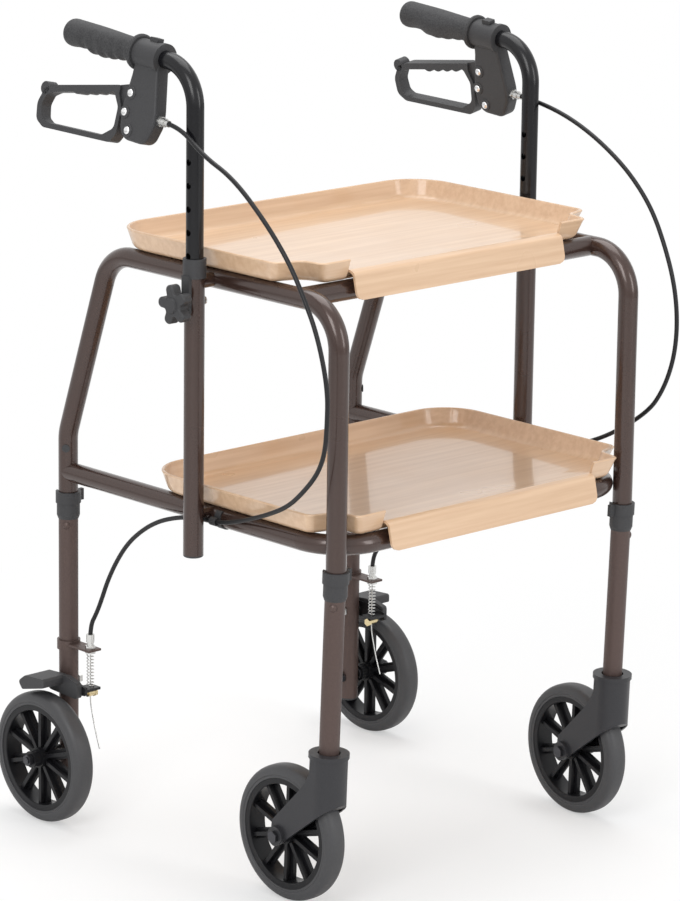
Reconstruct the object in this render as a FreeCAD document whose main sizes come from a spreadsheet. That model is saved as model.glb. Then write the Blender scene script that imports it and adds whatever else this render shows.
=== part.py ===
"""Indoor walker with two trays, hand brakes and four wheels, in millimetres.

+Z is up, -Y is the front with the swivelling wheels, +Y is where the user walks, and -X is the user's
right. The origin lies on the floor under the middle of the walker. Pieces of the user's right side are
drawn and the left side mirrors them, except the left handle, which is set one hole lower.
"""

import FreeCAD, Part
import math
import os
import re

import Sketcher
from FreeCAD import Placement, Rotation, Vector

os.makedirs("parts", exist_ok=True)
doc = FreeCAD.newDocument("indoor_walker_with_tray")

# Driving sizes: word, value in millimetres or degrees, meaning
SIZES = [
    ("tube_od", 22.0, "frame tube, outside diameter"),
    ("tube_wall", 1.5, "frame tube, wall"),
    ("half_width", 218.3, "middle plane to the centre of a leg"),
    ("front_y", -238.0, "front legs"),
    ("leg_base", 438.0, "front legs to rear legs"),
    ("top_z", 661.0, "centre of the upper side tubes"),
    ("low_z", 401.3, "centre of the lower frame"),
    ("front_bend", 48.0, "bend radius above the front legs"),
    ("rear_bend", 48.0, "bend radius above the slanted tube"),
    ("rear_bend_y", 363.6, "front legs to the corner above the slanted tube"),
    ("knee_bend", 48.0, "bend radius of the knee"),
    ("knee_z", 445.4, "corner of the knee"),
    ("knee_plug_drop", 15.4, "small plug below the corner of the knee"),
    ("knee_plug_r", 3.2, "small plug below the knee"),
    ("cross_y", 58.7, "front legs to the upper cross tube"),
    ("joint_z", 350.0, "top of the lower legs"),
    ("rake_z", 381.0, "height where the front legs start to lean"),
    ("rake_bend", 120.0, "bend radius at that height"),
    ("spigot_length", 55.0, "spigot of the frame tube inside a lower leg"),
    ("spigot_gap", 0.12, "play between a spigot and a lower leg"),
    ("spigot_wall", 1.5, "wall of the spigot"),
    ("swage_length", 5.0, "step from the tube to its spigot"),
    ("front_rake", 2.0, "lean of the front lower legs, degrees"),
    ("front_leg_length", 180.0, "front lower leg"),
    ("rear_leg_length", 301.2, "rear lower leg"),
    ("button_r", 4.2, "snap button"),
    ("button_drop", 9.0, "snap button under the joint"),
    ("button_proud", 1.6, "snap button past the leg"),
    ("button_play", 0.2, "play round a snap button"),
    ("button_turn", 217.0, "direction that the snap buttons face, degrees from +X"),
    ("collar_od", 26.0, "sleeve over a leg joint"),
    ("collar_length", 18.0, "sleeve over a leg joint"),
    ("collar_low", 2.4, "sleeve under the joint"),
    ("sleeve_play", 0.08, "play of a sleeve or strap on its tube"),
    ("clip_od", 28.5, "ring clip above a sleeve"),
    ("clip_length", 13.0, "ring clip above a sleeve"),
    ("clip_mouth", 15.0, "opening of the ring clip"),
    ("clip_ear", 6.5, "ear that stands out from the ring clip"),
    ("clip_turn", 137.0, "direction of that ear, degrees from +X"),
    ("post_side", 32.6, "leg plane out to the handle post"),
    ("post_y", 189.0, "front legs to the handle posts"),
    ("post_wall", 1.2, "wall of a handle post"),
    ("post_bottom", 363.4, "lower end of a handle post"),
    ("post_top", 684.5, "upper end of a handle post"),
    ("spacer_r", 8.0, "upper spacer between side tube and post"),
    ("spacer_drop", 0.0, "upper spacer under the upper side tube's centre"),
    ("weld", 0.05, "gap left where pieces are welded together"),
    ("lug_r", 5.0, "lower spacer between side tube and post"),
    ("lug_up", 5.5, "lower spacer above the centre of the lower frame"),
    ("cap_od", 25.2, "plastic cap on a handle post"),
    ("cap_length", 20.5, "plastic cap on a handle post"),
    ("cap_lip", 2.5, "cap above the post"),
    ("tab_half", 6.0, "half width of the cap's tab"),
    ("tab_length", 37.0, "tab under the cap"),
    ("tab_out", 13.2, "post centre to the face of the tab"),
    ("knob_z", 640.0, "height of the clamping knob"),
    ("knob_r", 22.0, "knob over its lobes"),
    ("knob_lobe", 5.8, "half width of a lobe of the knob"),
    ("knob_thick", 13.0, "knob head"),
    ("knob_hub_r", 9.0, "knob hub"),
    ("knob_hub", 6.0, "knob hub towards the post"),
    ("stud_r", 3.0, "threaded stud of the knob"),
    ("stud_play", 0.06, "play round a stud, pin or axle"),
    ("handle_od", 19.0, "handle tube, outside diameter"),
    ("handle_wall", 1.5, "handle tube, wall"),
    ("handle_play", 0.3, "play between handle tube and cap"),
    ("handle_below", 80.0, "handle tube below the knob"),
    ("handle_bend", 45.0, "bend radius of the handle tube"),
    ("hole_pitch", 25.0, "pitch of the height holes"),
    ("hole_r", 3.5, "height holes"),
    ("grip_z", 888.4, "axis of the grip above the post"),
    ("grip_rise", 4.4, "rise of the grip to the rear, degrees"),
    ("grip_start", 86.0, "post axis to the front of the grip"),
    ("grip_end", 204.0, "post axis to the rear end of the grip"),
    ("grip_cap", 6.5, "rubber behind the end of the handle tube"),
    ("grip_r", 15.2, "grip at its palm end"),
    ("grip_waist", 13.8, "grip behind its flange"),
    ("flange_r", 19.5, "flange of the grip"),
    ("flange_thick", 5.5, "flange of the grip"),
    ("brake_roll", 12.0, "brake housing turned outwards, degrees"),
    ("clamp_r", 15.5, "clamp of the brake housing"),
    ("clamp_start", 50.0, "post axis to the front of the clamp"),
    ("clamp_end", 85.5, "post axis to the rear of the clamp"),
    ("house_front", 36.5, "post axis to the front of the housing"),
    ("house_back", 89.0, "post axis to the rear of the housing"),
    ("house_depth", 93.0, "grip axis to the bottom of the housing"),
    ("house_width", 18.0, "width of the housing"),
    ("house_edge", 3.5, "rounding of the housing"),
    ("slot_front", 66.0, "post axis to the front of the lever slot"),
    ("slot_top", 30.0, "grip axis to the top of the lever slot"),
    ("blade_thick", 8.0, "lever inside the housing"),
    ("blade_play", 0.6, "play beside the lever"),
    ("pivot_s", 79.5, "post axis to the lever pivot"),
    ("pivot_t", 43.5, "grip axis to the lever pivot"),
    ("rivet_r", 3.0, "housing rivets"),
    ("rivet_head_r", 4.6, "heads of the housing rivets"),
    ("rivet_head", 1.8, "heads of the housing rivets"),
    ("lever_width", 14.0, "lever loop, across"),
    ("loop_front", 102.5, "post axis to the front of the lever's loop"),
    ("lever_end", 229.0, "post axis to the end of the lever"),
    ("lever_bar", 8.5, "thickness of the lever's end bar"),
    ("tip_r", 7.5, "knob at the lever's tip"),
    ("cable_t", 64.0, "grip axis to the cable in the housing"),
    ("barrel_r", 4.8, "upper cable adjuster"),
    ("barrel_length", 9.5, "upper cable adjuster in front of the housing"),
    ("ferrule", 6.0, "ferrule on the end of the cable"),
    ("cable_od", 5.0, "brake cable"),
    ("wire_od", 1.4, "inner wire of the brake cable"),
    ("cable_clip_y", 174.0, "front legs to the cable clips"),
    ("cable_clip_out", 15.9, "tube centre to the clipped cable"),
    ("cable_clip_up", -1.5, "clipped cable above the lower frame's centre"),
    ("tab_z", 201.0, "ear that holds the lower adjuster"),
    ("ear_thick", 2.5, "ear that holds the lower adjuster"),
    ("strap_height", 11.0, "strap of the ear round the leg"),
    ("wire_y", 38.0, "rear leg forwards to the brake wire"),
    ("low_barrel_r", 3.7, "lower cable adjuster"),
    ("low_barrel_up", 19.0, "lower adjuster above the ear"),
    ("wheel_r", 75.0, "all wheels"),
    ("tyre_width", 26.0, "tyre"),
    ("tyre_depth", 14.0, "tyre, from its tread to the rim"),
    ("rim_width", 23.0, "rim of the wheel centre"),
    ("rim_depth", 6.5, "rim of the wheel centre"),
    ("spoke_count", 10.0, "spokes of a wheel"),
    ("spoke_thick", 4.4, "blade of a spoke"),
    ("spoke_width", 15.0, "blade of a spoke, along the axle"),
    ("boss_r", 11.5, "boss of the wheel centre"),
    ("rear_boss", 42.0, "length of a rear boss"),
    ("rear_track", 35.5, "leg plane out to the rear wheels"),
    ("axle_r", 4.0, "axles and brake pivots"),
    ("nut_r", 6.8, "nuts on the axles"),
    ("nut_thick", 5.0, "nuts on the axles"),
    ("trail", 53.6, "caster axle behind its swivel"),
    ("left_swivel", 5.0, "left caster turned out, degrees"),
    ("fork_r", 20.5, "caster fork, half width"),
    ("fork_rim_r", 22.0, "collar on top of the fork"),
    ("fork_rim", 5.0, "height of that collar"),
    ("fork_wall", 4.6, "fork arm"),
    ("fork_top", 172.0, "joint to the top of the fork, along the leg"),
    ("fork_front", 53.0, "height of the fork's front"),
    ("fork_boss", 11.0, "rounding of the fork arm round the axle"),
    ("boss_out", 4.5, "thickening of the fork arm round the axle"),
    ("tyre_room", 4.0, "room between tyre and fork crown"),
    ("recess_r", 12.4, "socket that the leg's end turns in"),
    ("recess_depth", 11.0, "depth of that socket"),
    ("kingpin_r", 5.0, "swivel pin"),
    ("head_up", 34.0, "top of the fork down to the head of the swivel pin"),
    ("bush_length", 32.0, "swivel bush inside the leg"),
    ("bush_flange", 1.5, "flange of the swivel bush"),
    ("shoe_pivot_z", 158.0, "height of the brake's pivot"),
    ("shoe_in", 15.2, "leg centre to the inner face of the brake block"),
    ("shoe_out", 22.0, "leg centre to the outer face of the brake block"),
    ("blade_far", 50.0, "leg centre to the outer edge of the brake blade"),
    ("arm_thick", 3.0, "steel brake arm"),
    ("spring_od", 8.6, "return spring"),
    ("spring_wire", 1.1, "wire of the return spring"),
    ("spring_turns", 10.0, "turns of the return spring"),
    ("tray_over", 15.7, "leg plane out to the rim of the tray"),
    ("tray_back", 294.0, "hook tube to the rear rim of the tray"),
    ("tray_front", 12.0, "front rim in front of the hook tube's centre"),
    ("tray_draft", 8.0, "lean of the tray's wall"),
    ("tray_wall", 2.5, "thickness of the tray"),
    ("tray_rise", 24.0, "height of the tray's wall"),
    ("tray_gap", 0.35, "tray above the tubes that carry it"),
    ("tray_round", 6.0, "rounding of the tray's bottom edge"),
    ("tray_corner", 52.0, "rear corners of the rim"),
    ("relief_side", 15.3, "leg plane in to the hollow beside a front leg"),
    ("relief_back", 16.0, "hook tube back to that hollow"),
    ("lip_in", 61.8, "leg plane in to the end of the hooked lip"),
    ("lip_notch", 2.0, "notch between lip and wall"),
    ("lip_drop", 19.5, "lower edge of the lip under the tray's floor"),
]

sheet = doc.addObject("Spreadsheet::Sheet", "sizes")
for row, (word, value, meaning) in enumerate(SIZES, 1):
    sheet.set(f"A{row}", meaning)
    sheet.set(f"B{row}", str(value))
    sheet.setAlias(f"B{row}", word)
doc.recompute()
WORDS = {word for word, value, meaning in SIZES}

# Places worked out from the sizes, written as expressions
REAR_Y = "(front_y + leg_base)"
CROSS_Y = "(front_y + cross_y)"
POST_X = "(half_width + post_side)"
POST_Y = "(front_y + post_y)"
TUBE_R = "(tube_od / 2)"
TUBE_BORE = "(tube_od / 2 - tube_wall)"
POST_BORE = "(tube_od / 2 - post_wall)"
HANDLE_R = "(handle_od / 2)"
SPIGOT_R = "(tube_od / 2 - tube_wall - spigot_gap)"
JOINT_Y = "(front_y + (rake_z - joint_z) * tan(front_rake))"
AXLE_DROP = "((joint_z - wheel_r + trail * sin(front_rake)) / cos(front_rake))"
REAR_WHEEL_X = "(half_width + rear_track)"
WIRE_Y = f"({REAR_Y} - wire_y)"
HUB_R = "(wheel_r - tyre_depth)"
CAP_Z = "(post_top + cap_lip - cap_length)"
LEDGE_Z = "(shoe_pivot_z - 2)"
CABLE_FOOT = "(tab_z + low_barrel_up - 6)"
LOW_BEND = "(tube_od / (sqrt(2) - 1))"
SIDES = ("-half_width", "half_width")
RIVETS = [("pivot_s", "pivot_t"), ("pivot_s + 3.5", "pivot_t + 21"), ("pivot_s - 6.5", "pivot_t + 39")]
LEAVES = []


def bound(text):
    """An expression with each size named on its sheet."""
    return re.sub(r"[a-z_]\w*", lambda m: "sizes." + m[0] if m[0] in WORDS else m[0], str(text))


def size(text):
    return float(sheet.evalExpression(bound(text)))


def bind(thing, name, text):
    thing.setExpression(name, bound(text))


def place(thing, at, turn=Rotation()):
    """Put a thing at a point given as three expressions."""
    thing.Placement = Placement(Vector(*(size(text) for text in at)), turn)
    for letter, text in zip("xyz", at):
        bind(thing, f"Placement.Base.{letter}", text)
    return thing


def keep(thing, label):
    """Name a finished piece, which is written to a file of its own."""
    thing.Label = label
    LEAVES.append(thing)
    return thing


TURN = {"x": Rotation(Vector(0, 1, 0), 90), "y": Rotation(Vector(1, 0, 0), -90), "z": Rotation()}
ORIGIN = ("0", "0", "0")


def cylinder(radius, length, at=ORIGIN, along="z"):
    made = doc.addObject("Part::Cylinder", "cylinder")
    bind(made, "Radius", radius)
    bind(made, "Height", length)
    return place(made, at, TURN[along])


def cone(low, high, length, at, along="z"):
    made = doc.addObject("Part::Cone", "cone")
    bind(made, "Radius1", low)
    bind(made, "Radius2", high)
    bind(made, "Height", length)
    return place(made, at, TURN[along])


def block(length, width, height, at):
    made = doc.addObject("Part::Box", "block")
    bind(made, "Length", length)
    bind(made, "Width", width)
    bind(made, "Height", height)
    return place(made, at)


def prism(radius, length, at, along="z"):
    """A hexagonal nut or bolt head."""
    made = doc.addObject("Part::Prism", "hexagon")
    made.Polygon = 6
    bind(made, "Circumradius", radius)
    bind(made, "Height", length)
    return place(made, at, TURN[along])


def fuse(*pieces):
    made = doc.addObject("Part::MultiFuse", "fuse")
    made.Shapes = list(pieces)
    return made


def cut(base, *tools):
    made = doc.addObject("Part::Cut", "cut")
    made.Base = base
    made.Tool = tools[0] if len(tools) == 1 else fuse(*tools)
    return made


def tube(outer, inner, length, at=ORIGIN, along="z"):
    return cut(cylinder(outer, length, at, along), cylinder(inner, length, at, along))


def group(*pieces):
    made = doc.addObject("Part::Compound", "group")
    made.Links = list(pieces)
    return made


def mirror(piece):
    made = doc.addObject("Part::Mirroring", "mirror")
    made.Source = piece
    made.Normal = Vector(1, 0, 0)
    return made


def both(piece, label):
    """The right piece and its mirrored left piece, as two nodes."""
    keep(piece, f"{label}_right")
    return keep(mirror(piece), f"{label}_left")


def pair(label, *pieces):
    """The right pieces and their mirrored left ones, as one node."""
    right = group(*pieces)
    return keep(group(right, mirror(right)), label)


# Sketch helpers
def new_body(name):
    made = doc.addObject("PartDesign::Body", name)
    doc.recompute()
    return made


def plane(body, role):
    return next(f for f in body.Origin.OriginFeatures if f.Role == role)


def sketch(body, role, offset="0"):
    made = body.newObject("Sketcher::SketchObject", "sketch")
    made.AttachmentSupport = [(plane(body, role), "")]
    made.MapMode = "FlatFace"
    made.AttachmentOffset = Placement(Vector(0, 0, size(offset)), Rotation())
    bind(made, "AttachmentOffset.Base.z", offset)
    return made


def fix(drawing, kind, where, text):
    """Hold a point at a distance from the origin, or an arc at a radius."""
    value = size(text)
    index = drawing.addConstraint(Sketcher.Constraint(kind, *where, value))
    bind(drawing, f"Constraints[{index}]", text)


def fix_point(drawing, geometry, end, u, v):
    fix(drawing, "DistanceX", (-1, 1, geometry, end), u)
    fix(drawing, "DistanceY", (-1, 1, geometry, end), v)


def draw(drawing, corners, closed=True):
    """Straight edges between corners (u, v, radius), with an arc where the radius isn't 0."""
    spots = [Vector(size(u), size(v), 0) for u, v, r in corners]
    radii = [size(r) for u, v, r in corners]
    count = len(corners)
    entry = list(spots)
    leave = list(spots)
    arcs = {}
    for i in range(count):
        if not radii[i]:
            continue
        before = (spots[i - 1] - spots[i]).normalize()
        after = (spots[(i + 1) % count] - spots[i]).normalize()
        half = before.getAngle(after) / 2
        reach = radii[i] / math.tan(half)
        entry[i] = spots[i] + before * reach
        leave[i] = spots[i] + after * reach
        centre = spots[i] + (before + after).normalize() * (radii[i] / math.sin(half))
        turns_left = before.cross(after).z < 0
        first, last = (entry[i], leave[i]) if turns_left else (leave[i], entry[i])
        start = math.atan2(first.y - centre.y, first.x - centre.x)
        end = math.atan2(last.y - centre.y, last.x - centre.x)
        end += 2 * math.pi if end < start else 0
        circle = Part.Circle(centre, Vector(0, 0, 1), radii[i])
        arcs[i] = (drawing.addGeometry(Part.ArcOfCircle(circle, start, end)), turns_left)
    lines = {}
    for i in range(count if closed else count - 1):
        after = (i + 1) % count
        lines[i] = drawing.addGeometry(Part.LineSegment(leave[i], entry[after]))
    for i, (u, v, r) in enumerate(corners):
        if i in arcs:
            arc, turns_left = arcs[i]
            came, goes = lines[(i - 1) % count], lines[i]
            point = drawing.addGeometry(Part.Point(spots[i]), True)
            drawing.addConstraint(Sketcher.Constraint("Tangent", came, 2, arc, 1 if turns_left else 2))
            drawing.addConstraint(Sketcher.Constraint("Tangent", arc, 2 if turns_left else 1, goes, 1))
            fix(drawing, "Radius", (arc,), r)
            drawing.addConstraint(Sketcher.Constraint("PointOnObject", point, 1, came))
            drawing.addConstraint(Sketcher.Constraint("PointOnObject", point, 1, goes))
            fix_point(drawing, point, 1, u, v)
        elif i in lines:
            fix_point(drawing, lines[i], 1, u, v)
            if (i - 1) % count in lines:
                came = lines[(i - 1) % count]
                drawing.addConstraint(Sketcher.Constraint("Coincident", came, 2, lines[i], 1))
        else:
            fix_point(drawing, lines[i - 1], 2, u, v)


def rings(drawing, u, v, *radii):
    """Circles with one centre."""
    for text in radii:
        circle = Part.Circle(Vector(size(u), size(v), 0), Vector(0, 0, 1), size(text))
        index = drawing.addGeometry(circle)
        fix_point(drawing, index, 3, u, v)
        fix(drawing, "Radius", (index,), text)


def pad(body, drawing, length):
    made = body.newObject("PartDesign::Pad", "pad")
    made.Profile = drawing
    bind(made, "Length", length)
    return made


def slab(name, role, outlines, width):
    """A body of one thickness, centred on its plane; each outline is a list of corners."""
    body = new_body(name)
    drawing = sketch(body, role, f"-({width}) / 2")
    for corners in outlines:
        draw(drawing, corners)
    pad(body, drawing, width)
    return body


def revolve(body, drawing, axis):
    made = body.newObject("PartDesign::Revolution", "revolution")
    made.Profile = drawing
    made.ReferenceAxis = (drawing, [axis])
    made.Angle = 360
    return made


def bent_tube(name, role, path, profile_role, start, outer, inner):
    """A tube swept along a flat path; start is the path's first point on the profile's plane."""
    body = new_body(name)
    spine = sketch(body, role)
    draw(spine, path, closed=False)
    profile = sketch(body, profile_role, start[2])
    rings(profile, start[0], start[1], outer, inner)
    pipe = body.newObject("PartDesign::AdditivePipe", "pipe")
    pipe.Profile = profile
    pipe.Spine = (spine, [])
    return body


def on_front_leg(thing):
    """Turn a thing drawn about the joint of a front leg to the leg's lean."""
    place(thing, ("-half_width", JOINT_Y, "joint_z"), Rotation(Vector(1, 0, 0), size("front_rake")))
    bind(thing, "Placement.Rotation.Angle", "front_rake")
    return thing


def on_rear_leg(thing):
    return place(thing, ("-half_width", REAR_Y, "joint_z"))


def on_handle(thing, rolled=False):
    """Set a thing drawn about the post axis, with +Y along the grip, in its place on the handle."""
    turn = Rotation(Vector(1, 0, 0), size("grip_rise"))
    if rolled:
        turn = turn * Rotation(Vector(0, 1, 0), size("brake_roll"))
    return place(thing, (f"-{POST_X}", POST_Y, "grip_z"), turn)


def both_handles(piece, label):
    """A right handle piece and its mirror image, which is set one hole lower."""
    keep(piece, f"{label}_right")
    left = mirror(piece)
    keep(place(left, ("0", "0", "-hole_pitch")), f"{label}_left")


def button_pin(radius, start, length):
    """A pin along the direction of the snap buttons, drawn about a leg's joint."""
    turn = Rotation(Vector(0, 0, 1), size("button_turn")) * TURN["x"]
    reach = ("cos(button_turn)", "sin(button_turn)")
    made = cylinder(radius, length)
    return place(made, (f"{reach[0]} * {start}", f"{reach[1]} * {start}", "-button_drop"), turn)


# Frame
def spigot():
    """The swaged end of a frame tube, drawn about the joint."""
    low = ("0", "0", "-spigot_length")
    solid = fuse(cylinder(TUBE_R, "swage_length + 1"), cylinder(SPIGOT_R, "spigot_length + 1", low))
    bore = cylinder(f"{SPIGOT_R} - spigot_wall", "spigot_length + swage_length + 2", low)
    return cut(solid, bore, button_pin("button_r + button_play", "0", TUBE_R))


def knee_plug(radius, start, length):
    """A small plug, or its hole, in the rear leg below the knee."""
    reach = f"({TUBE_BORE} - {start})"
    at = (
        f"-half_width + cos(button_turn) * {reach}",
        f"{REAR_Y} + sin(button_turn) * {reach}",
        "knee_z - knee_plug_drop",
    )
    return place(cylinder(radius, length), at, Rotation(Vector(0, 0, 1), size("button_turn")) * TURN["x"])


def side_frame():
    foot_z = "joint_z + swage_length"
    path = [
        (REAR_Y, foot_z, "0"),
        (REAR_Y, "knee_z", "knee_bend"),
        ("front_y + rear_bend_y", "top_z", "rear_bend"),
        ("front_y", "top_z", "front_bend"),
        ("front_y", "rake_z", "rake_bend"),
        (f"{JOINT_Y} - swage_length * sin(front_rake)", "joint_z + swage_length * cos(front_rake)", "0"),
    ]
    body = bent_tube("side_tube", "YZ_Plane", path, "XY_Plane", ("0", REAR_Y, foot_z), TUBE_R, TUBE_BORE)
    place(body, ("-half_width", "0", "0"))
    whole = fuse(body, on_front_leg(spigot()), on_rear_leg(spigot()))
    return cut(whole, knee_plug("knee_plug_r + stud_play", "2", "tube_od / 2"))


def lower_frame():
    """The low tube that runs round the front from one rear leg to the other."""
    path = [
        ("-half_width", REAR_Y, "0"),
        ("-half_width", "front_y", LOW_BEND),
        ("half_width", "front_y", LOW_BEND),
        ("half_width", REAR_Y, "0"),
    ]
    start = ("-half_width", "0", f"-{REAR_Y}")
    body = bent_tube("low_tube", "XY_Plane", path, "XZ_Plane", start, TUBE_R, TUBE_BORE)
    place(body, ("0", "0", "low_z"))
    legs = [cylinder(f"{TUBE_R} + weld", "2 * tube_od", (x, REAR_Y, "low_z - tube_od")) for x in SIDES]
    return cut(body, *legs)


def cross_tube():
    whole = tube(TUBE_R, TUBE_BORE, "2 * half_width", ("-half_width", CROSS_Y, "top_z"), "x")
    sides = [
        cylinder(f"{TUBE_R} + weld", "2 * tube_od", (x, f"{CROSS_Y} - tube_od", "top_z"), "y") for x in SIDES
    ]
    return cut(whole, *sides)


def post_tools():
    """The side tubes and the post, slightly enlarged, to shape the spacers against."""
    return (
        cylinder(f"{TUBE_R} + weld", "4 * tube_od", ("-half_width", f"{POST_Y} - 2 * tube_od", "top_z"), "y"),
        cylinder(f"{TUBE_R} + weld", "4 * tube_od", ("-half_width", f"{POST_Y} - 2 * tube_od", "low_z"), "y"),
        cylinder(f"{TUBE_R} + weld", "post_top - post_bottom", (f"-{POST_X}", POST_Y, "post_bottom")),
        cylinder("cap_od / 2 + weld", "cap_length", (f"-{POST_X}", POST_Y, f"{CAP_Z} - weld")),
    )


def post_spacers():
    upper = cylinder("spacer_r", "post_side", (f"-{POST_X}", POST_Y, "top_z - spacer_drop"), "x")
    lower = cylinder("lug_r", "post_side", (f"-{POST_X}", POST_Y, "low_z + lug_up"), "x")
    return cut(upper, *post_tools()), cut(lower, *post_tools())


def handle_post():
    whole = tube(TUBE_R, POST_BORE, "post_top - post_bottom", (f"-{POST_X}", POST_Y, "post_bottom"))
    stud = cylinder("stud_r + stud_play", "2 * tube_od", (f"-{POST_X} - tube_od", POST_Y, "knob_z"), "x")
    return cut(whole, stud)


def post_cap():
    """The plastic cap on the post with the tab that the knob presses on."""
    tab_z = f"({CAP_Z} - tab_length)"
    ring = cylinder("cap_od / 2", "cap_length", (f"-{POST_X}", POST_Y, CAP_Z))
    tab = block(
        "tab_out", "2 * tab_half", "tab_length + 3", (f"-{POST_X} - tab_out", f"{POST_Y} - tab_half", tab_z)
    )
    post = cylinder(f"{TUBE_R} + sleeve_play", f"post_top - {tab_z}", (f"-{POST_X}", POST_Y, tab_z))
    mouth = cylinder(f"{HANDLE_R} + handle_play", "3 * cap_lip", (f"-{POST_X}", POST_Y, "post_top - cap_lip"))
    stud = cylinder("stud_r + stud_play", "tube_od", (f"-{POST_X} - tube_od", POST_Y, "knob_z"), "x")
    return cut(fuse(ring, tab), post, mouth, stud)


def knob_bolt():
    """The screw end on the inner side of the post."""
    seat = f"(-{POST_X} + tube_od / 2)"
    start = f"-{POST_X} + {HANDLE_R} + 0.2"
    shank = cylinder("stud_r", f"{TUBE_R} - {HANDLE_R} - 0.2", (start, POST_Y, "knob_z"), "x")
    head = cone("stud_r + 2.5", "stud_r + 1.5", "stud_r", (f"{seat} + weld", POST_Y, "knob_z"), "x")
    return fuse(shank, head)


# Lower legs
def front_leg():
    """Drawn about the joint, like all pieces of the lower front leg."""
    whole = tube(TUBE_R, TUBE_BORE, "front_leg_length", ("0", "0", "-front_leg_length"))
    return on_front_leg(cut(whole, button_pin("button_r + button_play", "0", "tube_od")))


def rear_leg():
    whole = tube(TUBE_R, TUBE_BORE, "rear_leg_length", ("0", "0", "-rear_leg_length"))
    axle = cylinder(f"axle_r + stud_play", "2 * tube_od", ("-tube_od", "0", "wheel_r - joint_z"), "x")
    pivot = cylinder(f"axle_r + stud_play", "2 * tube_od", ("-tube_od", "0", "shoe_pivot_z - joint_z"), "x")
    return on_rear_leg(cut(whole, button_pin("button_r + button_play", "0", "tube_od"), axle, pivot))


def collar():
    """The sleeve over the joint, drawn in at its lower end."""
    low = ("0", "0", "-collar_low")
    solid = fuse(
        cone("collar_od / 2 - 1.4", "collar_od / 2", "4", low),
        cylinder("collar_od / 2", "collar_length - 4", ("0", "0", "4 - collar_low")),
    )
    return cut(solid, cylinder(f"{TUBE_R} + sleeve_play", "collar_length", low))


def ring_clip(turn):
    """An open ring above the sleeve with an ear that stands out towards the given direction."""
    foot = "collar_length - collar_low"
    ring = tube("clip_od / 2", f"{TUBE_R} + sleeve_play", "clip_length", ("0", "0", foot))
    ear = block("clip_ear + 2", "4.5", "clip_length", ("clip_od / 2 - 2", "-2.25", foot))
    mouth = block("clip_od", "clip_mouth", "clip_length + 2", ("0", "-clip_mouth / 2", f"{foot} - 1"))
    mouth = place(group(mouth), ORIGIN, Rotation(Vector(0, 0, 1), 80))
    return place(group(cut(fuse(ring, ear), mouth)), ORIGIN, Rotation(Vector(0, 0, 1), size(turn)))


def button():
    bore = f"({SPIGOT_R} - spigot_wall)"
    pin = button_pin("button_r", f"({bore} - 2)", f"({TUBE_R} - {bore} + 2)")
    dome = button_pin("button_r", TUBE_R, "button_proud")
    dome = fuse(pin, dome_cut(dome))
    return dome


def dome_cut(pin):
    """The rounded end of a snap button."""
    centre = f"({TUBE_R} + button_proud - 1.3 * button_r)"
    at = (f"cos(button_turn) * {centre}", f"sin(button_turn) * {centre}", "-button_drop")
    ball = doc.addObject("Part::Sphere", "ball")
    bind(ball, "Radius", "1.3 * button_r")
    place(ball, at)
    made = doc.addObject("Part::MultiCommon", "dome")
    made.Shapes = [pin, ball]
    return made


def leaf():
    """The bent leaf spring behind a snap button, inside the tube."""
    at = ("0", "-button_r", "-spigot_length + 8")
    strip = block("0.8", "2 * button_r", "spigot_length - 14", at)
    return place(
        group(strip),
        (
            "cos(button_turn) * (tube_od / 2 - tube_wall - spigot_gap - spigot_wall - 2.8)",
            "sin(button_turn) * (tube_od / 2 - tube_wall - spigot_gap - spigot_wall - 2.8)",
            "0",
        ),
        Rotation(Vector(0, 0, 1), size("button_turn")),
    )


def snap_button():
    return fuse(button(), leaf())


def bush():
    """The swivel bush in the foot of a front leg."""
    low = "-front_leg_length - bush_flange"
    whole = fuse(
        cylinder(f"{TUBE_BORE} - 0.05", "bush_length", ("0", "0", "-front_leg_length")),
        cylinder(TUBE_R, "bush_flange", ("0", "0", low)),
    )
    bore = cylinder("kingpin_r + stud_play", "2 * bush_length", ("0", "0", f"{low} - 1"))
    return cut(whole, bore)


def end_plug(depth):
    """A plug in the lower end of a tube, drawn about that end."""
    body = new_body("plug")
    drawing = sketch(body, "XZ_Plane")
    corners = [
        ("0", "depth", "0"),
        ("0", "-2.5", "0"),
        (TUBE_R, "-2.5", "2"),
        (TUBE_R, "0", "0"),
        ("bore", "0", "0"),
        ("bore", "depth", "1.5"),
    ]
    bore = f"({TUBE_R} - {depth[1]} - 0.05)"
    words = {"depth": depth[0], "bore": bore}
    draw(drawing, [(words.get(u, u), words.get(v, v), r) for u, v, r in corners])
    revolve(body, drawing, "V_Axis")
    return body


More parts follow.
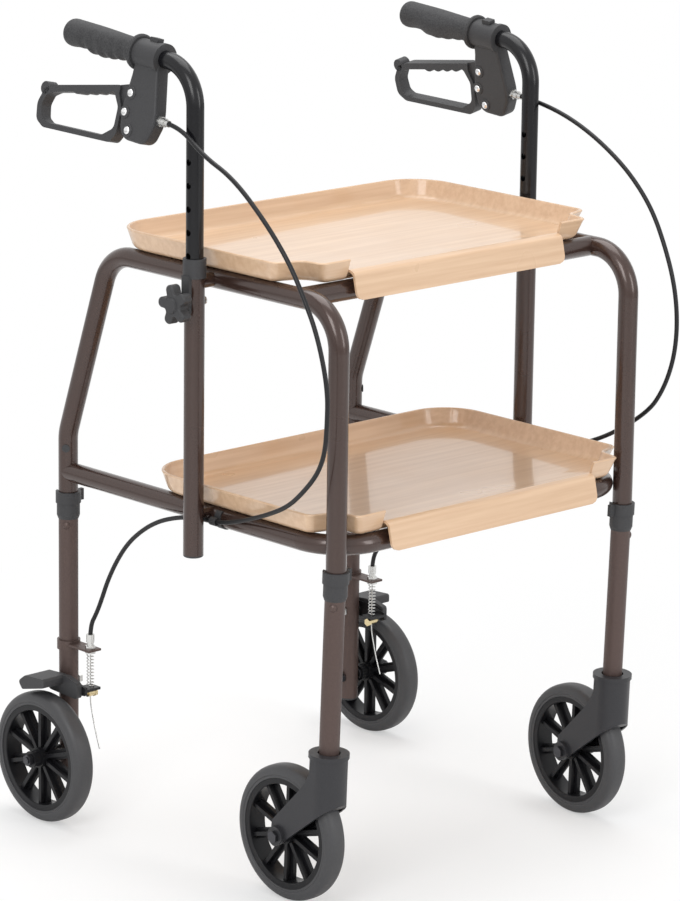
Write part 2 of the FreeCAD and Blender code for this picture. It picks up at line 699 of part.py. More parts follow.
# Swivelling front wheels
def caster_fork():
    """The fork, drawn about the joint: the crown, two arms and the room for the wheel."""
    crown_low = "(-fork_top - fork_front)"
    axle_z = f"(-{AXLE_DROP})"
    crown = cylinder("fork_r", "fork_front + 20", ("0", "0", f"{crown_low} - 20"))
    rim = cylinder("fork_rim_r", "fork_rim", ("0", "0", "-fork_top - fork_rim"))
    outline = [
        ("0", "-fork_top - 1", "0"),
        ("0.3 * fork_r", "-fork_top - 1", "0"),
        ("0.38 * fork_r", "-fork_top - 21", "12"),
        ("0.82 * fork_r", "-fork_top - 38", "30"),
        ("trail + fork_boss - 1", f"{axle_z} + fork_boss + 4", "9"),
        ("trail + fork_boss", f"{axle_z} - fork_boss", "fork_boss - 0.5"),
        ("trail - fork_boss + 3", f"{axle_z} - fork_boss", "8"),
        ("0", "-fork_top - 73", "0"),
    ]
    plate = slab("fork_arms", "YZ_Plane", [outline], "2 * fork_r")
    bosses = cylinder("fork_boss", "2 * (fork_r + boss_out)", ("-fork_r - boss_out", "trail", axle_z), "x")
    below = [
        ("-2 * fork_r", f"{crown_low} + fork_r", "0"),
        ("-fork_r", f"{crown_low} - 2", "9"),
        ("trail + fork_boss", f"{axle_z} - fork_boss - 10", "0"),
        ("trail + fork_boss", f"{axle_z} - 2 * trail", "0"),
        ("-2 * fork_r", f"{axle_z} - 2 * trail", "0"),
    ]
    room = "wheel_r + tyre_room"
    wheel = cylinder(room, "2 * (fork_r - fork_wall)", ("fork_wall - fork_r", "trail", axle_z), "x")
    tools = [
        slab("fork_underside", "YZ_Plane", [below], "4 * fork_r"),
        wheel,
        cylinder("axle_r + stud_play", "4 * fork_r", ("-2 * fork_r", "trail", axle_z), "x"),
        cylinder("recess_r", "recess_depth + 1", ("0", "0", "-fork_top - recess_depth")),
        cylinder("kingpin_r + stud_play", "fork_front + 20", ("0", "0", f"{crown_low} - 20")),
        cylinder("kingpin_r + 3.6", "30", ("0", "0", "-fork_top - head_up - 30")),
    ]
    return cut(fuse(crown, rim, plate, bosses), *tools)


def caster_bolts():
    """The swivel pin with its nut and the wheel's axle bolt, drawn about the joint."""
    foot = "(-fork_top - head_up)"
    pin = fuse(
        cylinder("kingpin_r", f"-front_leg_length + bush_length + 9 - {foot}", ("0", "0", foot)),
        prism("kingpin_r + 2.8", "4.6", ("0", "0", f"{foot} - 4.6")),
        cylinder("kingpin_r + 3", "5", ("0", "0", "-front_leg_length + bush_length + 0.4")),
    )
    at = f"-{AXLE_DROP}"
    half = "(fork_r + boss_out + 0.1)"
    nut = "(nut_thick - 1)"
    axle = fuse(
        cylinder("axle_r", f"2 * {half}", (f"-{half}", "trail", at), "x"),
        prism("nut_r", nut, (f"-{half} - {nut}", "trail", at), "x"),
        prism("nut_r", nut, (half, "trail", at), "x"),
    )
    return group(pin, axle)


# Wheels, drawn about their centres with the axle along X
def tyre():
    body = new_body("tyre")
    drawing = sketch(body, "XZ_Plane")
    corners = [
        ("-tyre_width / 2", HUB_R, "0"),
        ("tyre_width / 2", HUB_R, "0"),
        ("tyre_width / 2", "wheel_r - tyre_depth * 0.35", "6"),
        ("tyre_width * 0.3", "wheel_r", "5"),
        ("-tyre_width * 0.3", "wheel_r", "5"),
        ("-tyre_width / 2", "wheel_r - tyre_depth * 0.35", "6"),
    ]
    draw(drawing, corners)
    revolve(body, drawing, "H_Axis")
    return body


def hub(boss):
    """Rim, spokes and boss of a wheel; boss is the length of the boss."""
    body = new_body("hub")
    drawing = sketch(body, "XZ_Plane")
    inner = f"({HUB_R} - rim_depth)"
    corners = [
        ("-rim_width / 2", f"{HUB_R} - 0.05", "0"),
        ("-rim_width / 2", inner, "1.2"),
        ("rim_width / 2", inner, "1.2"),
        ("rim_width / 2", f"{HUB_R} - 0.05", "0"),
    ]
    draw(drawing, corners)
    revolve(body, drawing, "H_Axis")
    half = f"(({boss}) / 2)"
    middle = fuse(
        cylinder("boss_r", "rim_width", ("-rim_width / 2", "0", "0"), "x"),
        cylinder("boss_r - 2", boss, (f"-{half}", "0", "0"), "x"),
    )
    reach = f"({inner} - boss_r + 2)"
    spoke = fuse(
        block("spoke_width", "spoke_thick", reach, ("-spoke_width / 2", "-spoke_thick / 2", "boss_r - 1")),
        block("2.5", "spoke_thick * 2.6", reach, ("-1.25", "-spoke_thick * 1.3", "boss_r - 1")),
    )
    spokes = []
    for index in range(int(size("spoke_count"))):
        turned = group(spoke)
        turned.Placement = Placement(Vector(), Rotation(Vector(1, 0, 0), index * 360 / size("spoke_count")))
        bind(turned, "Placement.Rotation.Angle", f"{index} * 360 / spoke_count")
        spokes.append(turned)
    axle = cylinder("axle_r + stud_play", f"{boss} + 2", (f"-{half} - 1", "0", "0"), "x")
    return cut(fuse(body, middle, *spokes), axle)


def caster_wheel(piece):
    """A wheel piece put on the caster's axle, drawn about the joint."""
    return group(place(piece, ("0", "trail", f"-{AXLE_DROP}")))


def both_casters(piece, label):
    """A right caster piece and its mirror image, which is swivelled out a little."""
    left = mirror(piece)
    keep(on_front_leg(group(piece)), f"{label}_right")
    turn = Rotation(Vector(1, 0, 0), size("front_rake")) * Rotation(Vector(0, 0, 1), -size("left_swivel"))
    keep(place(group(left), ("half_width", JOINT_Y, "joint_z"), turn), f"{label}_left")


def rear_wheel():
    at = (f"-{REAR_WHEEL_X}", REAR_Y, "wheel_r")
    return place(hub("rear_boss"), at), place(tyre(), at)


def rear_axle():
    """Bolt with its head inside, a spacer outside the leg and a nut outside the wheel."""
    inner = f"(-half_width + {TUBE_R} + weld)"
    outer = f"(-{REAR_WHEEL_X} - rear_boss / 2 - 0.4)"
    gap = f"(rear_track - rear_boss / 2 - {TUBE_R})"
    tip = f"({outer} - nut_thick - 1.5)"
    spacer = f"({inner} - tube_od - {gap} + 0.25)"
    return fuse(
        cylinder("axle_r", f"{inner} - {tip}", (tip, REAR_Y, "wheel_r"), "x"),
        prism("nut_r", "nut_thick", (inner, REAR_Y, "wheel_r"), "x"),
        prism("nut_r", "nut_thick", (f"{outer} - nut_thick", REAR_Y, "wheel_r"), "x"),
        cylinder("axle_r + 3.5", f"{gap} - 0.4", (spacer, REAR_Y, "wheel_r"), "x"),
    )


# Height-adjustable handles
def handle_tube():
    end = "(grip_end - grip_cap)"
    path = [
        (POST_Y, "knob_z - handle_below", "0"),
        (POST_Y, "grip_z", "handle_bend"),
        (f"{POST_Y} + cos(grip_rise) * {end}", f"grip_z + sin(grip_rise) * {end}", "0"),
    ]
    start = ("0", POST_Y, "knob_z - handle_below")
    body = bent_tube("handle", "YZ_Plane", path, "XY_Plane", start, HANDLE_R, f"{HANDLE_R} - handle_wall")
    place(body, (f"-{POST_X}", "0", "0"))
    side = f"-{POST_X} - handle_od"
    heights = [f"knob_z + {step} * hole_pitch" for step in range(-2, 7)]
    holes = [cylinder("hole_r", "2 * handle_od", (side, POST_Y, height), "x") for height in heights]
    return cut(body, *holes)


def grip():
    """Drawn about the post axis, like all pieces of the handle: along the grip and out from its axis."""
    body = new_body("grip")
    drawing = sketch(body, "YZ_Plane")
    bore = f"({HANDLE_R} + 0.03)"
    tube_end = "(grip_end - grip_cap + 0.1)"
    corners = [
        ("grip_start", bore, "0"),
        (tube_end, bore, "0"),
        (tube_end, "0", "0"),
        ("grip_end", "0", "0"),
        ("grip_end", "grip_r", "8"),
        ("grip_start + 60", "grip_r - 0.7", "90"),
        ("grip_start + flange_thick + 1", "grip_waist", "2.4"),
        ("grip_start + flange_thick", "flange_r", "2.2"),
        ("grip_start", "flange_r", "2.2"),
    ]
    draw(drawing, corners)
    revolve(body, drawing, "H_Axis")
    return on_handle(body)


def rounded(body, feature, radius, role):
    """Round the edges of a slab's two flat faces."""
    doc.recompute()
    flat = []
    for number, face in enumerate(feature.Shape.Faces, 1):
        middle = face.normalAt(0, 0)
        if abs(middle.x) > 0.99:
            flat.append(f"Face{number}")
    made = body.newObject("PartDesign::Fillet", role)
    made.Base = (feature, flat)
    bind(made, "Radius", radius)
    return body


def brake_housing():
    outline = [
        ("clamp_start", "-2", "0"),
        ("house_front", "-cable_t + 6", "50"),
        ("house_front", "-cable_t - 8", "12"),
        ("house_front + 8", "-house_depth", "14"),
        ("house_back - 4", "-house_depth", "17"),
        ("house_back + 1.5", "-cable_t", "30"),
        ("grip_start - 0.4", "-flange_r - 4", "20"),
        ("grip_start - 0.4", "-2", "0"),
    ]
    body = slab("housing", "YZ_Plane", [outline], "house_width")
    rounded(body, body.Tip, "house_edge", "edges")
    clamp = cylinder("clamp_r", "clamp_end - clamp_start", ("0", "clamp_start", "0"), "y")
    ring = cylinder("clamp_r + 1", "5", ("0", "clamp_start - 1.5", "0"), "y")
    blade_x = "(blade_thick / 2 + blade_play)"
    slot_at = (f"-{blade_x}", "slot_front", "-slot_top - house_depth")
    slot = block(f"2 * {blade_x}", "2 * tube_od", "house_depth", slot_at)
    tools = [cylinder(f"{HANDLE_R} + 0.05", "clamp_end", ("0", "house_front - 1", "0"), "y"), slot]
    for s, t in RIVETS:
        tools.append(cylinder("rivet_r + stud_play", "2 * house_width", ("-house_width", s, f"-({t})"), "x"))
    tools.append(cylinder("wire_od", "house_back - house_front", ("0", "house_front - 1", "-cable_t"), "y"))
    return on_handle(cut(fuse(body, clamp, ring), *tools), rolled=True)


def housing_rivets():
    """The lever's pivot, two cross rivets and the clamp's screw."""
    made = []
    half = "(house_width / 2 + 0.05)"
    for s, t in RIVETS:
        down = f"-({t})"
        made.append(fuse(
            cylinder("rivet_r", f"2 * {half}", (f"-{half}", s, down), "x"),
            cone("rivet_head_r - 1.2", "rivet_head_r", "rivet_head", (f"-{half} - rivet_head", s, down), "x"),
            cone("rivet_head_r", "rivet_head_r - 1.2", "rivet_head", (half, s, down), "x"),
        ))
    made.append(prism("rivet_head_r", "3", ("0", "clamp_start + 17", "clamp_r + 0.1")))
    return on_handle(group(*made), rolled=True)


def brake_lever():
    """The loop below the grip and the blade that turns inside the housing."""
    outer = [
        ("loop_front", "-38", "3"),
        ("lever_end - 23", "-60", "30"),
        ("lever_end - 7", "-67", "5"),
        ("lever_end", "-83", "14"),
        ("lever_end - 5", "-101", "10"),
        ("lever_end - 18", "-108", "12"),
        ("loop_front - 3", "-102", "9"),
        ("loop_front - 10.5", "-90", "9"),
        ("loop_front - 10.5", "-62", "9"),
        ("loop_front", "-48", "6"),
    ]
    hole_end = "lever_end - lever_bar"
    inner = [
        ("loop_front + 7", "-50", "6"),
        (f"{hole_end} - 15", "-68", "14"),
        (f"{hole_end} - 5", "-73", "5"),
        (hole_end, "-84", "10"),
        (f"{hole_end} - 4", "-98", "6"),
        (f"{hole_end} - 13", "-102", "8"),
        ("loop_front + 12", "-96", "10"),
        ("loop_front - 4.5", "-84", "8"),
        ("loop_front - 4.5", "-64", "7"),
    ]
    loop = slab("loop", "YZ_Plane", [outer, inner], "lever_width")
    rounded(loop, loop.Tip, "1.8", "edges")
    blade = [
        ("pivot_s", "-pivot_t + 9", "0"),
        ("pivot_s + 6", "-pivot_t + 9", "0"),
        ("loop_front + 2", "-39.5", "0"),
        ("loop_front + 4", "-48", "0"),
        ("loop_front - 6", "-64", "0"),
        ("loop_front - 9", "-64", "0"),
        ("pivot_s", "-pivot_t - 9", "0"),
    ]
    root = slab("blade", "YZ_Plane", [blade], "blade_thick")
    x = "(-blade_thick / 2)"
    boss = cylinder("9", "blade_thick", (x, "pivot_s", "-pivot_t"), "x")
    tip = cylinder("tip_r", "lever_width", ("-lever_width / 2", "lever_end - 11", "-66"), "x")
    hole = cylinder("rivet_r + stud_play", "2 * house_width", ("-house_width", "pivot_s", "-pivot_t"), "x")
    return on_handle(cut(fuse(loop, boss, tip, root), hole), rolled=True)


def cable_adjuster():
    """Screw, lock nut and ferrule in front of the housing; the cable ends in the ferrule."""
    end = "(house_front - barrel_length)"
    solid = fuse(
        cylinder("barrel_r - 0.8", "barrel_length - 0.1", ("0", end, "-cable_t"), "y"),
        prism("barrel_r + 1.2", "3", ("0", "house_front - 3.1", "-cable_t"), "y"),
        cylinder("barrel_r", "4", ("0", end, "-cable_t"), "y"),
        cylinder("cable_od / 2 + 1.1", "ferrule", ("0", f"{end} - ferrule + 0.5", "-cable_t"), "y"),
    )
    seat = cylinder("cable_od / 2 + 0.05", "ferrule + 1", ("0", f"{end} - ferrule - 1", "-cable_t"), "y")
    wire = cylinder("wire_od", "house_front", ("0", f"{end} - 2", "-cable_t"), "y")
    return on_handle(cut(solid, seat, wire), rolled=True)


def star_knob():
    """Five-lobed head, hub and stud; the stud stops beside the handle tube."""
    corners = []
    for index in range(5):
        lobe = f"({index} * 72 + 4)"
        for side in ("-", "+"):
            u = f"cos{lobe} * knob_r - ({side}1) * sin{lobe} * knob_lobe"
            v = f"sin{lobe} * knob_r + ({side}1) * cos{lobe} * knob_lobe"
            corners.append((u, v, "knob_lobe - 0.3"))
        valley = f"({index} * 72 + 40)"
        reach = "knob_lobe / sin(36)"
        corners.append((f"cos{valley} * {reach}", f"sin{valley} * {reach}", "3.5"))
    head = slab("knob_head", "YZ_Plane", [corners], "knob_thick")
    rounded(head, head.Tip, "2.5", "edges")
    face = f"(-{POST_X} - tab_out - 0.4)"
    place(head, (f"{face} - knob_hub - knob_thick / 2", POST_Y, "knob_z"))

    def on_axis(start):
        return (f"{face} - ({start})", POST_Y, "knob_z")

    return fuse(
        head,
        cone("knob_hub_r + 2", "knob_hub_r - 1", "knob_hub + 1", on_axis("knob_hub + 1"), "x"),
        cone("knob_hub_r - 1.5", "knob_hub_r", "3", on_axis("knob_hub + knob_thick + 2"), "x"),
        cylinder("stud_r", f"-{POST_X} - {HANDLE_R} - 0.3 - {face} + 2", on_axis("2"), "x"),
    )


# Rear brakes
def brake_tab():
    """A strap round the rear leg with an ear for the lower adjuster."""
    strap = cylinder(f"{TUBE_R} + 2.2", "strap_height", ("-half_width", REAR_Y, "tab_z - strap_height / 2"))
    ear_at = ("-half_width - tube_od / 2 + 2", f"{WIRE_Y} - 8", "tab_z")
    ear = block("tube_od - 4", "wire_y + 8", "ear_thick", ear_at)
    leg_at = ("-half_width", REAR_Y, "tab_z - strap_height")
    leg = cylinder(f"{TUBE_R} + sleeve_play", "2 * strap_height", leg_at)
    hole = cylinder("low_barrel_r + 0.1", "4 * ear_thick", ("-half_width", WIRE_Y, "tab_z - ear_thick"))
    return cut(fuse(strap, ear), leg, hole)


def lower_adjuster():
    """Hollow screw in the ear; the cable ends in its head."""
    foot = "(tab_z - 3.1)"
    solid = fuse(
        cylinder("low_barrel_r", "low_barrel_up + 3.1", ("-half_width", WIRE_Y, foot)),
        prism("low_barrel_r + 2.4", "3", ("-half_width", WIRE_Y, "tab_z - 3.1")),
        prism("low_barrel_r + 2.4", "3", ("-half_width", WIRE_Y, "tab_z + ear_thick + 0.1")),
        cylinder("low_barrel_r + 0.9", "9", ("-half_width", WIRE_Y, "tab_z + low_barrel_up - 9")),
    )
    wire = cylinder("wire_od", "3 * low_barrel_up", ("-half_width", WIRE_Y, f"{foot} - 1"))
    seat = cylinder("cable_od / 2 + 0.05", "low_barrel_up", ("-half_width", WIRE_Y, CABLE_FOOT))
    return cut(solid, wire, seat)


def brake_pivot():
    """The pin through the rear leg that carries the brake arm."""
    inner = f"(-half_width + {TUBE_R} + weld)"
    tip = "(-half_width - shoe_out + 1)"
    return fuse(
        cylinder("axle_r", f"{inner} - {tip} + 1", (tip, REAR_Y, "shoe_pivot_z"), "x"),
        prism("nut_r", "nut_thick - 0.5", (inner, REAR_Y, "shoe_pivot_z"), "x"),
    )


def brake_arm():
    """Steel strip beside the leg with a ledge that the wire pulls up."""
    outline = [
        (f"{REAR_Y} + 9", "shoe_pivot_z + 9", "8.5"),
        (f"{REAR_Y} - 20", "shoe_pivot_z + 9", "6"),
        (f"{WIRE_Y} - 9", "shoe_pivot_z + 3", "2"),
        (f"{WIRE_Y} - 9", "shoe_pivot_z - 6", "2"),
        (f"{REAR_Y} - 20", "shoe_pivot_z - 9", "6"),
        (f"{REAR_Y} + 9", "shoe_pivot_z - 9", "8.5"),
    ]
    strip = slab("arm", "YZ_Plane", [outline], "arm_thick")
    place(strip, ("-half_width - shoe_in + 0.3 + arm_thick / 2", "0", "0"))
    ledge = block(
        "shoe_in + 7", "17", "arm_thick", (f"-half_width - shoe_in + 0.3", f"{WIRE_Y} - 9", LEDGE_Z)
    )
    pivot_at = ("-half_width - 2 * shoe_in", REAR_Y, "shoe_pivot_z")
    pivot = cylinder("axle_r + stud_play", "4 * shoe_in", pivot_at, "x")
    wire = cylinder("wire_od", "4 * arm_thick", ("-half_width", WIRE_Y, f"{LEDGE_Z} - arm_thick"))
    return cut(fuse(strip, ledge), pivot, wire)


def brake_shoe():
    """The block on the arm and the blade over the tyre."""
    outline = [
        (f"{REAR_Y} + 11", "shoe_pivot_z + 11", "8"),
        (f"{REAR_Y} - 22", "shoe_pivot_z + 13", "7"),
        (f"{REAR_Y} - 41", "shoe_pivot_z + 8", "4"),
        (f"{REAR_Y} - 41", "shoe_pivot_z - 10", "4"),
        (f"{REAR_Y} + 11", "shoe_pivot_z - 8", "7"),
    ]
    block_part = slab("shoe_block", "YZ_Plane", [outline], "shoe_out - shoe_in")
    place(block_part, ("-half_width - (shoe_in + shoe_out) / 2", "0", "0"))
    curve = [(-16, 96, 3), (17, 94, 6), (29, 85, 4), (22, 76.6, 3), (-2, 82.5, 12), (-16, 86, 3)]
    blade_outline = [(f"{REAR_Y} + {y}", f"wheel_r + {z}", f"{r}") for y, z, r in curve]
    blade = slab("shoe_blade", "YZ_Plane", [blade_outline], "blade_far - shoe_in")
    place(blade, ("-half_width - (blade_far + shoe_in) / 2", "0", "0"))
    end = "(-half_width - shoe_out + 0.7)"
    pivot = cylinder("axle_r + stud_play", "shoe_out - 0.7", (end, REAR_Y, "shoe_pivot_z"), "x")
    return cut(fuse(block_part, blade), pivot)


def pinch_bolt():
    """The cross bolt that holds the wire's end under the ledge."""
    z = f"({LEDGE_Z} - 4.3)"
    solid = fuse(
        cylinder("4.2", "9", ("-half_width - 5", WIRE_Y, z), "x"),
        prism("4.8", "3.5", ("-half_width + 4", WIRE_Y, f"{z} - 0.6"), "x"),
        cylinder("2.5", "4", ("-half_width - 8.5", WIRE_Y, z), "x"),
    )
    return cut(solid, cylinder("wire_od / 2 + 0.05", "20", ("-half_width", WIRE_Y, f"{z} - 10")))


# Round sections along a line: cables, wires and springs
def bend_wire(name, points):
    """Straight runs joined by tangent arcs through the points; prints the radii of the arcs."""
    entry = list(points)
    leave = list(points)
    arcs = [None] * len(points)
    radii = []
    for i in range(1, len(points) - 1):
        back = points[i - 1] - points[i]
        ahead = points[i + 1] - points[i]
        reach = 0.45 * min(back.Length, ahead.Length)
        back.normalize()
        ahead.normalize()
        half = back.getAngle(ahead) / 2
        radius = reach * math.tan(half)
        radii.append(radius)
        entry[i] = points[i] + back * reach
        leave[i] = points[i] + ahead * reach
        middle = points[i] + (back + ahead).normalize() * (radius / math.sin(half) - radius)
        arcs[i] = Part.Arc(entry[i], middle, leave[i]).toShape()
    edges = []
    for i in range(len(points) - 1):
        edges.append(Part.LineSegment(leave[i], entry[i + 1]).toShape())
        if arcs[i + 1]:
            edges.append(arcs[i + 1])
    print(name, "arc radii", [round(r, 1) for r in radii])
    return Part.Wire(edges)


def sweep(name, wire, radius):
    """A round section swept along a wire; compares its volume with section times length."""
    first = wire.Edges[0]
    at = first.valueAt(first.FirstParameter)
    ahead = first.tangentAt(first.FirstParameter)
    section = Part.Wire(Part.Circle(at, ahead, radius).toShape())
    shape = wire.makePipeShell([section], True)
    ratio = shape.Volume / (math.pi * radius**2 * wire.Length)
    print(name, "length", round(wire.Length, 1), "volume ratio", round(ratio, 4), "valid", shape.isValid())
    made = doc.addObject("Part::Feature", name)
    made.Shape = shape
    return made


def routed(name, points, radius):
    return keep(sweep(name, bend_wire(name, points), radius), name)


def arc_from(start, tangent, end):
    """The circular arc that leaves start along a tangent and reaches end."""
    chord = end - start
    angle = tangent.getAngle(chord)
    meet = start + tangent * (chord.Length / 2 / math.cos(angle))
    middle = (start + end) * 0.5
    middle = middle + (meet - middle) * (math.tan(angle / 2) / math.tan(angle))
    return Part.Arc(start, middle, end).toShape()


def coil_wire(centre, radius, length, turns):
    """A helix down from a point, made of two arcs per quarter turn."""
    pitch = length / turns
    climb = math.hypot(2 * math.pi * radius, pitch)

    def spot(quarter):
        a = quarter * math.pi / 2
        return centre + Vector(radius * math.cos(a), radius * math.sin(a), -pitch * quarter / 4)

    def heading(quarter):
        a = quarter * math.pi / 2
        round_once = 2 * math.pi * radius
        return Vector(-math.sin(a) * round_once, math.cos(a) * round_once, -pitch) * (1 / climb)

    edges = []
    for quarter in range(int(round(turns * 4))):
        p1, p2 = spot(quarter), spot(quarter + 1)
        t1, t2 = heading(quarter), heading(quarter + 1)
        v = p2 - p1
        both_ways = t1 + t2
        spread = 2 * (1 - t1.dot(t2))
        reach = (-v.dot(both_ways) + math.sqrt(v.dot(both_ways) ** 2 + spread * v.dot(v))) / spread
        joint = (p1 + t1 * reach + p2 - t2 * reach) * 0.5
        edges.append(arc_from(p1, t1, joint))
        onward = (p2 - t2 * reach - joint).normalize()
        edges.append(arc_from(joint, onward, p2))
    return Part.Wire(edges)


def handle_point(s, t, left):
    """The world place of a point along the grip and below its axis, in the housing's plane."""
    turn = Rotation(Vector(1, 0, 0), size("grip_rise")) * Rotation(Vector(0, 1, 0), size("brake_roll"))
    frame = Placement(Vector(-size(POST_X), size(POST_Y), size("grip_z")), turn)
    point = frame.multVec(Vector(0, s, -t))
    return Vector(-point.x, point.y, point.z - size("hole_pitch")) if left else point


# Cable routes from the handle down to the front of the rear leg: out from the side frame's plane,
# back from the front legs, up from the lower frame
RIGHT_RUN = [
    (49.2, 158, 401.3),
    (46.7, 112.8, 383),
    (44.2, 65.1, 343.4),
    (43.7, 29.5, 306.8),
    (43.7, 8.5, 276),
    (43.7, -14.1, 237.7),
    (43.7, -30.5, 184.7),
    (43.2, -29.3, 144.2),
    (42, -25, 115.1),
    (39.2, -12, 91.4),
    (34.7, 12.5, 67.5),
]
LEFT_RUN = [
    (48.7, 150, 389),
    (47.7, 103, 371),
    (46.5, 60, 347),
    (45.7, 30, 323),
    (45, 7, 297),
    (44.2, -11, 265),
    (43.8, -25, 232),
    (43.7, -32.5, 200),
    (43.7, -34, 166),
    (43, -29.5, 134),
    (40.5, -19, 103),
    (36, -3, 76.5),
]
LOW_RUN = [(28.7, 44, 43), (21.7, 86, 24), (17.2, 130, 8)]
BACK_RUN = [
    (15.7, 215, -5),
    (15.5, 243, -12),
    (14, 271, -22.5),
    (11.8, 298, -38),
    (9.3, 324, -58),
    (6.8, 346, -83),
    (4.2, 365, -111),
    (2, 378.5, -137),
]


def brake_cable(left):
    """The outer cable from the upper ferrule to the lower adjuster."""
    start = size("house_front - barrel_length")
    half, front, low = size("half_width"), size("front_y"), size("low_z")
    points = [handle_point(start, size("cable_t"), left), handle_point(start - 24, size("cable_t"), left)]
    clip_y, clip_z, clip_x = size("cable_clip_y"), size("cable_clip_up"), size("cable_clip_out")
    clip = [(clip_x, clip_y - 13, clip_z + 0.8), (clip_x, clip_y + 13, clip_z - 0.8)]
    side = 1 if left else -1
    for out, back, up in (LEFT_RUN if left else RIGHT_RUN) + LOW_RUN + clip + BACK_RUN:
        points.append(Vector(side * (half + out), front + back, low + up))
    foot = Vector(side * half, size(WIRE_Y), size(CABLE_FOOT))
    points.append(foot + Vector(side * 0.6, -11.5, 33))
    points.append(foot + Vector(0, 0, 16))
    points.append(foot)
    return routed("brake_cable_left" if left else "brake_cable_right", points, size("cable_od") / 2)


def brake_wire(left):
    """The inner wire from the lower adjuster through the ledge, with its free tail."""
    foot = Vector((1 if left else -1) * size("half_width"), size(WIRE_Y), size(f"{LEDGE_Z} - 16"))
    top = Vector(foot.x, foot.y, size(f"{CABLE_FOOT} - 1"))
    points = [top, foot, foot + Vector(0, -3.5, -14), foot + Vector(0, -9, -33), foot + Vector(0, -16, -51)]
    return routed("brake_wire_left" if left else "brake_wire_right", points, size("wire_od") / 2)


def brake_spring(left):
    name = "brake_spring_left" if left else "brake_spring_right"
    wire = size("spring_wire")
    high = size("tab_z - 3.1") - wire / 2 - 0.1
    low = size(f"{LEDGE_Z} + arm_thick") + wire / 2 + 0.1
    turns = size("spring_turns")
    centre = Vector((1 if left else -1) * size("half_width"), size(WIRE_Y), high)
    coil = coil_wire(centre, (size("spring_od") - wire) / 2, high - low, turns)
    print(name, "gap between turns", round((high - low) / turns - wire, 2))
    return keep(sweep(name, coil, wire / 2), name)


def cable_clip():
    """One ring round the lower frame and one round the cable."""
    y = "(front_y + cable_clip_y - 4.5)"
    out = "(-half_width - cable_clip_out)"
    z = "(low_z + cable_clip_up)"
    solid = fuse(
        cylinder("collar_od / 2 - 0.6", "9", ("-half_width", y, "low_z"), "y"),
        cylinder("cable_od / 2 + 2.1", "9", (out, y, z), "y"),
    )
    frame = cylinder(f"{TUBE_R} + sleeve_play", "20", ("-half_width", f"{y} - 4", "low_z"), "y")
    above_at = ("-half_width - 2 * tube_od", f"{y} - 4", f"low_z + {TUBE_R} - 2")
    above = block("4 * tube_od", "20", "tube_od", above_at)
    return cut(solid, frame, cylinder("cable_od / 2 + 0.75", "20", (out, f"{y} - 4", z), "y"), above)


# Trays, drawn about the centre of the tube that carries the lip
def tray_outline(body, height, lean):
    """The tray's outline with its two hollows beside the front legs; lean is its distance inside the rim."""
    drawing = sketch(body, "XY_Plane", height)
    half = f"half_width + tray_over - ({lean})"
    back = f"tray_back - ({lean})"
    front = f"({lean}) - tray_front"
    nose = f"half_width - relief_side - 5 - ({lean})"
    hollow = f"half_width - relief_side - ({lean})"
    hollow_y = f"relief_back + ({lean})"
    cheek_y = f"relief_back + 9.5 + ({lean})"
    corners = [
        (f"-({nose})", front, "8"),
        (nose, front, "8"),
        (hollow, hollow_y, f"12 + ({lean})"),
        (half, cheek_y, "10"),
        (half, back, f"tray_corner - ({lean})"),
        (f"-({half})", back, f"tray_corner - ({lean})"),
        (f"-({half})", cheek_y, "10"),
        (f"-({hollow})", hollow_y, f"12 + ({lean})"),
    ]
    draw(drawing, corners)
    return drawing


def tray_block(low, high, inset, rounding):
    """The tray's outside, or its inside, as a solid whose bottom edge is rounded in two steps."""
    body = new_body("tray_block")
    steps = [
        (low, f"0.85 * ({rounding})"),
        (f"{low} + 0.27 * ({rounding})", f"0.3 * ({rounding})"),
        (f"{low} + 0.9 * ({rounding})", "0"),
        (high, "0"),
    ]
    outlines = []
    for height, tuck in steps:
        lean = f"tray_draft * (1 - ({height}) / tray_rise) + {inset} + {tuck}"
        outlines.append(tray_outline(body, f"{TUBE_R} + tray_gap + {height}", lean))
    loft = body.newObject("PartDesign::AdditiveLoft", "loft")
    loft.Profile = outlines[0]
    loft.Sections = outlines[1:]
    loft.Ruled = True
    return body


def tray():
    base = f"({TUBE_R} + tray_gap)"
    outside = tray_block("0", "tray_rise", "0", "tray_round")
    inside = tray_block("tray_wall", "tray_rise + 2", "1.05 * tray_wall", "tray_round - tray_wall")
    half = "(half_width - lip_in)"
    opening = block(
        f"2 * {half} + 2 * lip_notch", "46", "2 * tray_rise", (f"-{half} - lip_notch", "-40", f"{base} - 1")
    )
    lip = [
        ("10", f"{base} + tray_wall", "0"),
        ("6", f"{base} + tray_wall", "4"),
        ("-5", f"{base} + 12.6", "7"),
        ("-15", f"{base} + 9.1", "6"),
        ("-21.4", f"{base} - lip_drop", "0.8"),
        ("-18.7", f"{base} - lip_drop - 0.5", "0.8"),
        ("-12.6", f"{base} + 6.4", "4"),
        ("-6", f"{base} + 9.9", "4.5"),
        ("4.8", base, "6"),
        ("10", base, "0"),
    ]
    hook = slab("lip", "YZ_Plane", [lip], f"2 * {half}")
    return fuse(cut(outside, inside, opening), hook)


